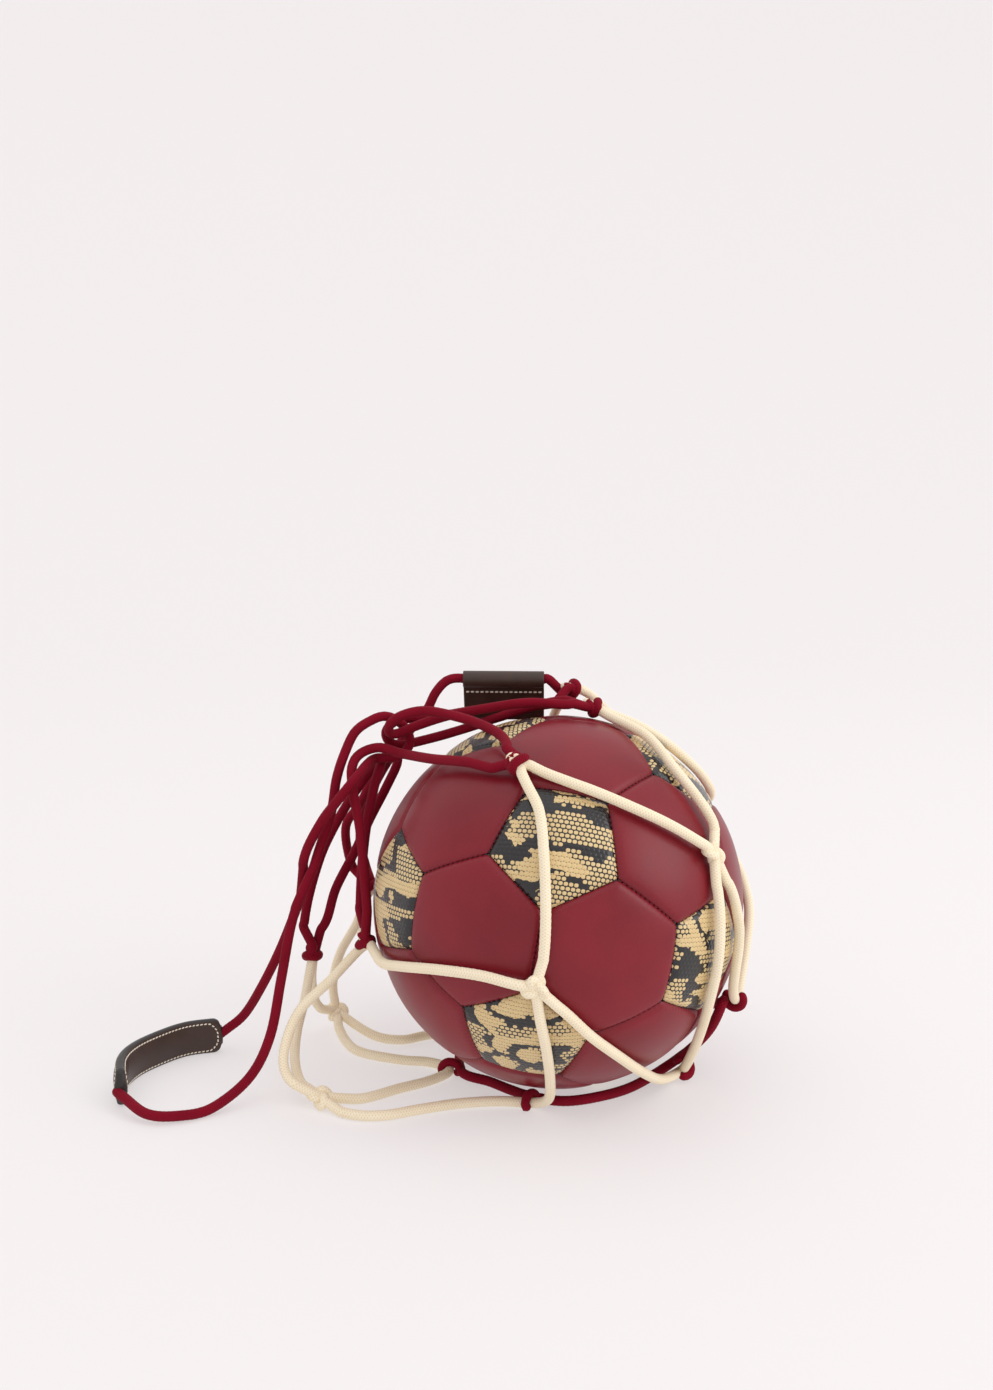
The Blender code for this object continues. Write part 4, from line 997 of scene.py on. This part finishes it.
def panelGrid(middle, corners, hole, mapTurn, mapShift):
    # Rows run from the middle out over the dome, down the sewn edge and back inside; columns follow the outline.
    # On the plane that touches the ball at the middle an edge is straight, so a row is the outline made smaller
    p = panel
    radius = ball["radius"]
    flat = corners / (corners @ middle)[:, None] - middle
    apothem = np.linalg.norm((flat[0] + flat[1]) / 2)
    flat = flat * (1 - p["gap"] / 2 / (radius * apothem))
    perSide = p["stitches"] * p["perStitch"]
    t = (np.arange(perSide) / perSide)[None, :, None]
    outline = (flat[:, None] * (1 - t) + np.roll(flat, -1, 0)[:, None] * t).reshape(-1, 3)
    toCorner = np.minimum(t, 1 - t)[0, :, 0] * np.linalg.norm(flat[0] - flat[1]) * radius
    atCorner = np.exp(-(np.tile(toCorner, len(flat)) / p["cornerReach"])**2)
    outline = outline * (1 - p["cornerCut"] * atCorner)[:, None]
    wave = 0.5 + 0.5 * np.cos(2 * np.pi * np.arange(len(outline)) / p["perStitch"])
    start = hole / (radius * apothem)
    # rows lie closer and closer towards the sewn edge
    inward = np.concatenate([np.linspace(1, 0.22, 9),
                             [0.17, 0.13, 0.095, 0.065, 0.042, 0.026, 0.014, 0.006, 0.0]])
    share = 1 - inward * (1 - start)
    edge = (1 - share) * apothem * radius
    height = (radius - p["edgeDrop"] * np.clip(1 - edge / p["edgeRound"], 0, 1)**2.2
              - p["puff"] * np.clip(1 - edge / p["puffWidth"], 0, 1)**2)
    height = height[:, None] - p["pucker"] * wave * np.exp(-edge / p["puckerWidth"])[:, None]
    inside = radius - p["sunk"] - p["thickness"]
    shares = np.concatenate([share, [1.0, 1.0], np.linspace(1, start, 5)])
    bottom = np.array([0.0, 0.5])[:, None] * (inside - height[-1]) + height[-1]
    heights = np.vstack([height, bottom[1:], np.full((6, len(outline)), inside)])
    directions = unit(middle + shares[:, None, None] * outline)
    points = ballCentre + directions * heights[..., None]
    if hole:
        points = np.vstack([points, points[:1]])
        shares = np.append(shares, shares[0])
    points[..., 2] = np.maximum(points[..., 2], 0.0)
    x = unit(flat[0])
    y = np.cross(middle, x)
    plane = shares[:, None, None] * np.vstack([outline, outline[:1]]) * radius
    c, s = math.cos(mapTurn), math.sin(mapTurn)
    u, v = plane @ x, plane @ y
    return grid(points, uv=np.stack([c * u + s * v + mapShift[0], c * v - s * u + mapShift[1]], -1))


def addPanels():
    pentagons, hexagons = patternCorners()
    valveWay = unit(np.array(sum(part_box("valve_core"), Vector())) / 2 - ballCentre)
    for kind, faces, look, slotName in (("pentagon", pentagons, "snakeLeather", "snake_print_leather"),
                                        ("hexagon", hexagons, "redLeather", "dark_red_leather")):
        names = sorted(name for name in nodes if name.startswith(kind))
        ways = unit(np.array([nodeMiddle(name) - ballCentre for name in names]))
        for middle, corners in faces:
            name = names[int((ways @ middle).argmax())]
            hole = panel["valveHole"] if kind == "hexagon" and middle @ valveWay > 0.99 else 0.0
            turn, shift = rng.uniform(-0.5, 0.5), rng.uniform(0, 0.8, 2)
            mapTurn = snakeTurn(middle, corners) + panel["mapTurn"] * turn
            surface = panelGrid(middle, corners, hole, mapTurn, shift)
            addPiece(name.replace("_panel", "Leather"), [surface], "ball", [materials[look]], [name])
    addSeamStitches(hexagons)


def nodeMiddle(name):
    mesh = nodes[name].data
    points = np.empty(len(mesh.vertices) * 3)
    mesh.vertices.foreach_get("co", points)
    return points.reshape(-1, 3).mean(0)


def snakeTurn(middle, corners):        # brings the rows of scales level on a panel that faces sideways
    x = unit(corners[0] - middle * (corners[0] @ middle))
    y = np.cross(middle, x)
    level = np.cross([0.0, 0.0, 1.0], middle)
    return math.atan2(level @ y, level @ x)


def threads(at, way, up, length, radius, sides=6):
    # One thread at each place, along its way and flattened a little along up; all are worked out together.
    # A thread is a row of circles that closes at both ends
    along = np.array([-1, -0.86, -0.45, 0.45, 0.86, 1])
    wide = np.array([0.0, 0.62, 1.0, 1.0, 0.62, 0.0])
    around = np.arange(sides) / sides * 2 * np.pi
    side = np.cross(up, way)
    body = (at[:, None, None] + way[:, None, None] * (along * length / 2)[:, None, None]
            + side[:, None, None] * (wide[:, None] * np.cos(around) * radius)[..., None]
            + up[:, None, None] * (wide[:, None] * np.sin(around) * radius * 0.8)[..., None])
    return [grid(one) for one in body]


def addSeamStitches(hexagons):
    edges = {}
    for middle, corners in hexagons:
        for a, b in zip(corners, np.roll(corners, -1, 0)):
            edges[tuple((a + b).round(4))] = (a, b)
    starts = np.array([pair[0] for pair in edges.values()])
    ends = np.array([pair[1] for pair in edges.values()])
    t = ((np.arange(panel["stitches"]) + 0.5) / panel["stitches"])[:, None]
    out = unit(starts[:, None] * (1 - t) + ends[:, None] * t).reshape(-1, 3)
    way = np.repeat(unit(ends - starts), panel["stitches"], 0)
    way = unit(way - dots(way, out) * out)
    way = unit(way + stitch["slant"] * np.cross(out, way))
    at = ballCentre + out * (ball["radius"] - panel["edgeDrop"] - panel["puff"] - stitch["sunk"])
    keep = at[:, 2] > stitch["floorClear"]
    grids = threads(at[keep], way[keep], out[keep], stitch["length"], stitch["radius"])
    addPiece("seamStitches", grids, "ball", [materials["darkThread"]])


def dressInside():        # the parts under the cover keep their CAD shape and get their finish
    for name, look in (("lining", "liningCloth"), ("bladder", "bladderRubber"),
                       ("valve_body", "valveRubber"), ("valve_core", "valveRubber")):
        mesh = nodes[name].data
        mesh.materials.clear()
        mesh.materials.append(materials[look])


pad = dict(height=0.022, thickness=0.0085, edgeThickness=0.0046, endCut=0.005, cutLimit=0.92, corner=0.0011,
           step=0.0008, swellRun=0.012, swellLeast=0.75, endRound=0.0009, endShrink=0.86, paintFrom=0.965,
           inset=0.0021, stitchPitch=0.00255, stitchLength=0.0019, stitchRadius=0.00044, stitchSlant=0.22,
           stitchLift=0.00005)


def padLine():        # the pad's line along the floor, its way, its sideways direction and the distance along
    line = smooth([(x, y, 0.0) for x, y in padRoute], pad["step"])
    way = unit(np.gradient(line, axis=0))
    return line, way, np.cross([0.0, 0.0, 1.0], way), cumulative(line)


def padHalf(t, fromEnd):
    # Half thickness, t running from 0 at mid height to 1: thin sewn borders and a rounded swell over the cord,
    # which gets lower towards the pad's ends
    border = pad["edgeThickness"] / 2
    swell = np.clip(fromEnd / pad["swellRun"], pad["swellLeast"], 1)
    return border + (pad["thickness"] / 2 - border) * swell * np.cos(np.clip(abs(t), 0, 1) * np.pi / 2)**1.3


def addPad():
    # Each station is a closed outline: up one face and down the other. Its height is cut by a quarter circle
    # at the pad's ends, and its borders round over at top and bottom
    line, way, side, along = padLine()
    fromEnd = np.minimum(along, along[-1] - along)
    lost = np.maximum(pad["endCut"] - fromEnd, 0)
    lost = np.where(lost > 0, pad["endCut"] - np.sqrt(np.maximum(pad["endCut"]**2 - lost**2, 0)), 0)
    lost = np.minimum(lost, pad["endCut"] * pad["cutLimit"])
    t = np.linspace(-1, 1, 33)
    t = np.sign(t) * abs(t)**0.8
    reach = pad["height"] / 2 - lost[:, None]
    level = pad["height"] / 2 + t * reach
    past = np.clip((abs(t) * reach - (reach - pad["corner"])) / pad["corner"], 0, 1)
    half = padHalf(t, fromEnd[:, None]) * (0.35 + 0.65 * np.sqrt(1 - past**2))
    near = line[:, None] + side[:, None] * half[..., None]
    far = line[:, None] - side[:, None] * half[:, ::-1, None]
    near[..., 2], far[..., 2] = level, level[:, ::-1]
    ring = np.concatenate([near, far], 1)
    caps = []
    for end, sign in ((0, -1), (-1, 1)):
        middle = line[end] + np.array([0, 0, pad["height"] / 2])
        push = way[end] * sign * pad["endRound"]
        caps.append([np.broadcast_to(middle + push, (1, ring.shape[1], 3)),
                     (middle + (ring[end] - middle) * pad["endShrink"] + push)[None]])
    ring = np.concatenate([*caps[0], ring, *caps[1][::-1]])
    tall = np.abs(np.concatenate([t, t[::-1]]))
    painted = np.maximum(tall, np.roll(tall, -1)) > pad["paintFrom"]
    faceKinds = np.tile(painted.astype(int), (len(ring) - 1, 1))
    faceKinds[:2], faceKinds[-2:] = 1, 1
    addPiece("handPad", [grid(ring)], "carry_loop",
             [materials["brownLeather"], materials["edgePaint"]], ["hand_pad"], faceMaterial=faceKinds.ravel())
    addPadStitches(line, way, side, along)


def addPadStitches(line, way, side, along):
    # The stitch line runs a little inside the outline on both faces: along the bottom, round the end and back
    inset, cut, tall, length = pad["inset"], pad["endCut"] + 0.001, pad["height"], along[-1]
    bend = cut + 0.001
    corners = [(cut, inset), (length - cut, inset), (length - inset, bend), (length - inset, tall - bend),
               (length - cut, tall - inset), (cut, tall - inset), (inset, tall - bend), (inset, bend)]
    path = np.array([(*corner, 0.0) for corner in corners + corners[:1]])
    marks = spaced(path, pad["stitchPitch"] / 3)
    for turn in range(6):        # each turn takes a little off the corners
        marks[:-1] = (np.roll(marks[:-1], 1, 0) + marks[:-1] * 2 + np.roll(marks[:-1], -1, 0)) / 4
    marks[-1] = marks[0]
    marks = spaced(marks, pad["stitchPitch"])[:-1]
    ahead = unit(np.roll(marks, -1, 0) - np.roll(marks, 1, 0))
    place, forward, across = (np.stack([np.interp(marks[:, 0], along, values[:, k]) for k in range(3)], 1)
                              for values in (line, way, side))
    forward, across = unit(forward), unit(across)
    upright = np.array([0.0, 0.0, 1.0])
    half = padHalf((marks[:, 1] - tall / 2) / (tall / 2), np.minimum(marks[:, 0], length - marks[:, 0]))
    grids = []
    for sign in (1, -1):
        at = place + across * sign * (half[:, None] + pad["stitchLift"]) + upright * marks[:, 1:2]
        direction = unit(forward * ahead[:, :1] + upright * ahead[:, 1:2])
        direction = unit(direction + pad["stitchSlant"] * sign * np.cross(across, direction))
        grids += threads(at, direction, across * sign, pad["stitchLength"], pad["stitchRadius"], 8)
    addPiece("handPadStitches", grids, "carry_loop", [materials["creamThread"]])


tag = dict(width=cord["tagWidth"], sleeveRadius=0.0052, cordClear=0.0012, flapLength=0.024,
           flapThickness=0.0026, lean=25, split=0.00028, neckDrop=0.0016, neckCurve=0.0009, footLift=0.0003,
           slitStop=0.0008, bow=0.0007, bowRun=0.02, pinch=0.00022, pinchRun=0.0006,
           stitchDrop=0.0034, stitchPitch=0.0030, stitchLength=0.0022, stitchRadius=0.00062, stitchRise=0.03)


def tagTurn():
    a = math.radians(tag["lean"])
    return np.array([[1, 0, 0], [0, math.cos(a), -math.sin(a)], [0, math.sin(a), math.cos(a)]])


def tagPlace(across, back, up):        # from the tag's own width, depth and height to the frame
    return np.array(tagMiddle) + np.stack(np.broadcast_arrays(across, back, up), -1) @ tagTurn().T


def addTag():
    # One strip folded round the cord: its outer line goes up the front, over the sleeve and down the back,
    # and its inner line returns inside, where the two layers meet under the cord
    half, r, low = tag["flapThickness"] / 2, tag["sleeveRadius"], -tag["sleeveRadius"] - tag["flapLength"]
    inner = cordRadius + tag["cordClear"]
    joint = math.asin(half / r) * 1.6
    arc = np.linspace(-np.pi / 2 - joint, -np.pi / 2 + joint - 2 * np.pi, 41)
    sleeve = np.stack([r * np.cos(arc), r * np.sin(arc)], 1)
    ease = np.linspace(0, 1, 8)[1:, None]
    up = np.linspace(0, 1, 12)[:, None]
    frontFoot, backFoot = np.array([-half, low]), np.array([half, low])
    neckFront = np.array([-half, sleeve[0, 1] - tag["neckDrop"]])
    neckBack = np.array([half, sleeve[-1, 1] - tag["neckDrop"]])
    front = frontFoot + (neckFront - frontFoot) * up
    back = neckBack + (backFoot - neckBack) * up
    frontCurve = eased(neckFront, neckFront + [0, tag["neckCurve"]], sleeve[0], ease)
    backCurve = eased(sleeve[-1], neckBack + [0, tag["neckCurve"]], neckBack, ease)
    outer = np.vstack([front, frontCurve[:-1], sleeve, backCurve, back[1:]])
    gap = tag["split"] / 2
    foot = np.array([gap, low + tag["footLift"]])
    innerArc = np.linspace(-np.pi / 2 + 0.12, -np.pi / 2 + 2 * np.pi - 0.12, 33)
    hollow = np.stack([inner * np.cos(innerArc), inner * np.sin(innerArc)], 1)
    slitUp = foot + (np.array([gap, hollow[0, 1] - tag["slitStop"]]) - foot) * up
    outline = np.vstack([outer, slitUp, hollow, slitUp[::-1] * [-1, 1]])
    # across the tag the ends are drawn in slightly, so that the cut edges look pressed and rounded
    x = np.array([-1, -0.996, -0.985, -0.96, *np.linspace(-0.9, 0.9, 19), 0.96, 0.985, 0.996, 1])
    x = x * tag["width"] / 2
    pinch = np.clip((abs(x) - (tag["width"] / 2 - tag["pinchRun"])) / tag["pinchRun"], 0, 1)**2 * tag["pinch"]
    normal = np.roll(outline, -1, 0) - np.roll(outline, 1, 0)
    normal = unit(np.stack([normal[:, 1], -normal[:, 0]], 1))
    section = outline[None] + normal[None] * pinch[:, None, None] * outlineSign(outline)
    bow = tag["bow"] * np.cos(np.pi * x / tag["width"])[:, None]
    bow = bow * np.clip(-(section[..., 1] + r) / tag["bowRun"], 0, 1)
    body = tagPlace(x[:, None], section[..., 0] - bow, section[..., 1])
    cut = np.arange(len(outline)) >= len(outer)
    ends = [tagEnd(section[k], bow[k], x[k], len(outer)) for k in (0, -1)]
    kinds = np.concatenate([np.tile(cut.astype(int), len(x) - 1), np.ones(2 * (len(outer) - 1), int)])
    addPiece("tag", [grid(body)] + ends, "tag",
             [materials["brownLeather"], materials["edgePaint"]], ["tag"], faceMaterial=kinds)
    addTagStitches(half)


def eased(start, pull, end, t):        # the curve from start to end, drawn towards pull between them
    return start * (1 - t)**2 + 2 * pull * t * (1 - t) + end * t**2


def outlineSign(outline):        # the outline's turning sense, so that the pinch goes inwards
    nextOne = np.roll(outline, -1, 0)
    return -np.sign((outline[:, 0] * nextOne[:, 1] - nextOne[:, 0] * outline[:, 1]).sum())


def tagEnd(section, bow, x, outerCount):
    # The folded strip's end is a band between its outer line and its inner line, joined station by station
    outer, inner = section[:outerCount], section[outerCount:][::-1]
    a, b = cumulative(inner) / cumulative(inner)[-1], cumulative(outer) / cumulative(outer)[-1]
    follow = np.stack([np.interp(b, a, inner[:, k]) for k in range(2)], 1)
    band = np.stack([outer, follow])
    return grid(tagPlace(np.full((2, outerCount), x), band[..., 0] - bow[:outerCount], band[..., 1]), wrap=False)


def addTagStitches(half):
    count = int(tag["width"] / tag["stitchPitch"])
    x = (np.arange(count) + 0.5 - count / 2) * tag["stitchPitch"]
    level = -tag["sleeveRadius"] - tag["stitchDrop"]
    bow = tag["bow"] * np.cos(np.pi * x / tag["width"]) * min(1, tag["stitchDrop"] / tag["bowRun"])
    way = unit(np.array([1.0, 0.0, tag["stitchRise"]]) @ tagTurn().T)
    grids = []
    for sign in (-1, 1):
        at = tagPlace(x, sign * half - bow, np.full(count, level))
        up = np.array([0.0, sign, 0.0]) @ tagTurn().T
        grids += threads(at, np.tile(way, (count, 1)), np.tile(up, (count, 1)), tag["stitchLength"],
                         tag["stitchRadius"], 8)
    addPiece("tagStitches", grids, "tag", [materials["creamThread"]])


addNet()
print("net:", cordLengths)
addPanels()
dressInside()
print("ball")
addPad()
print("hand pad")
addTag()
print("tag")
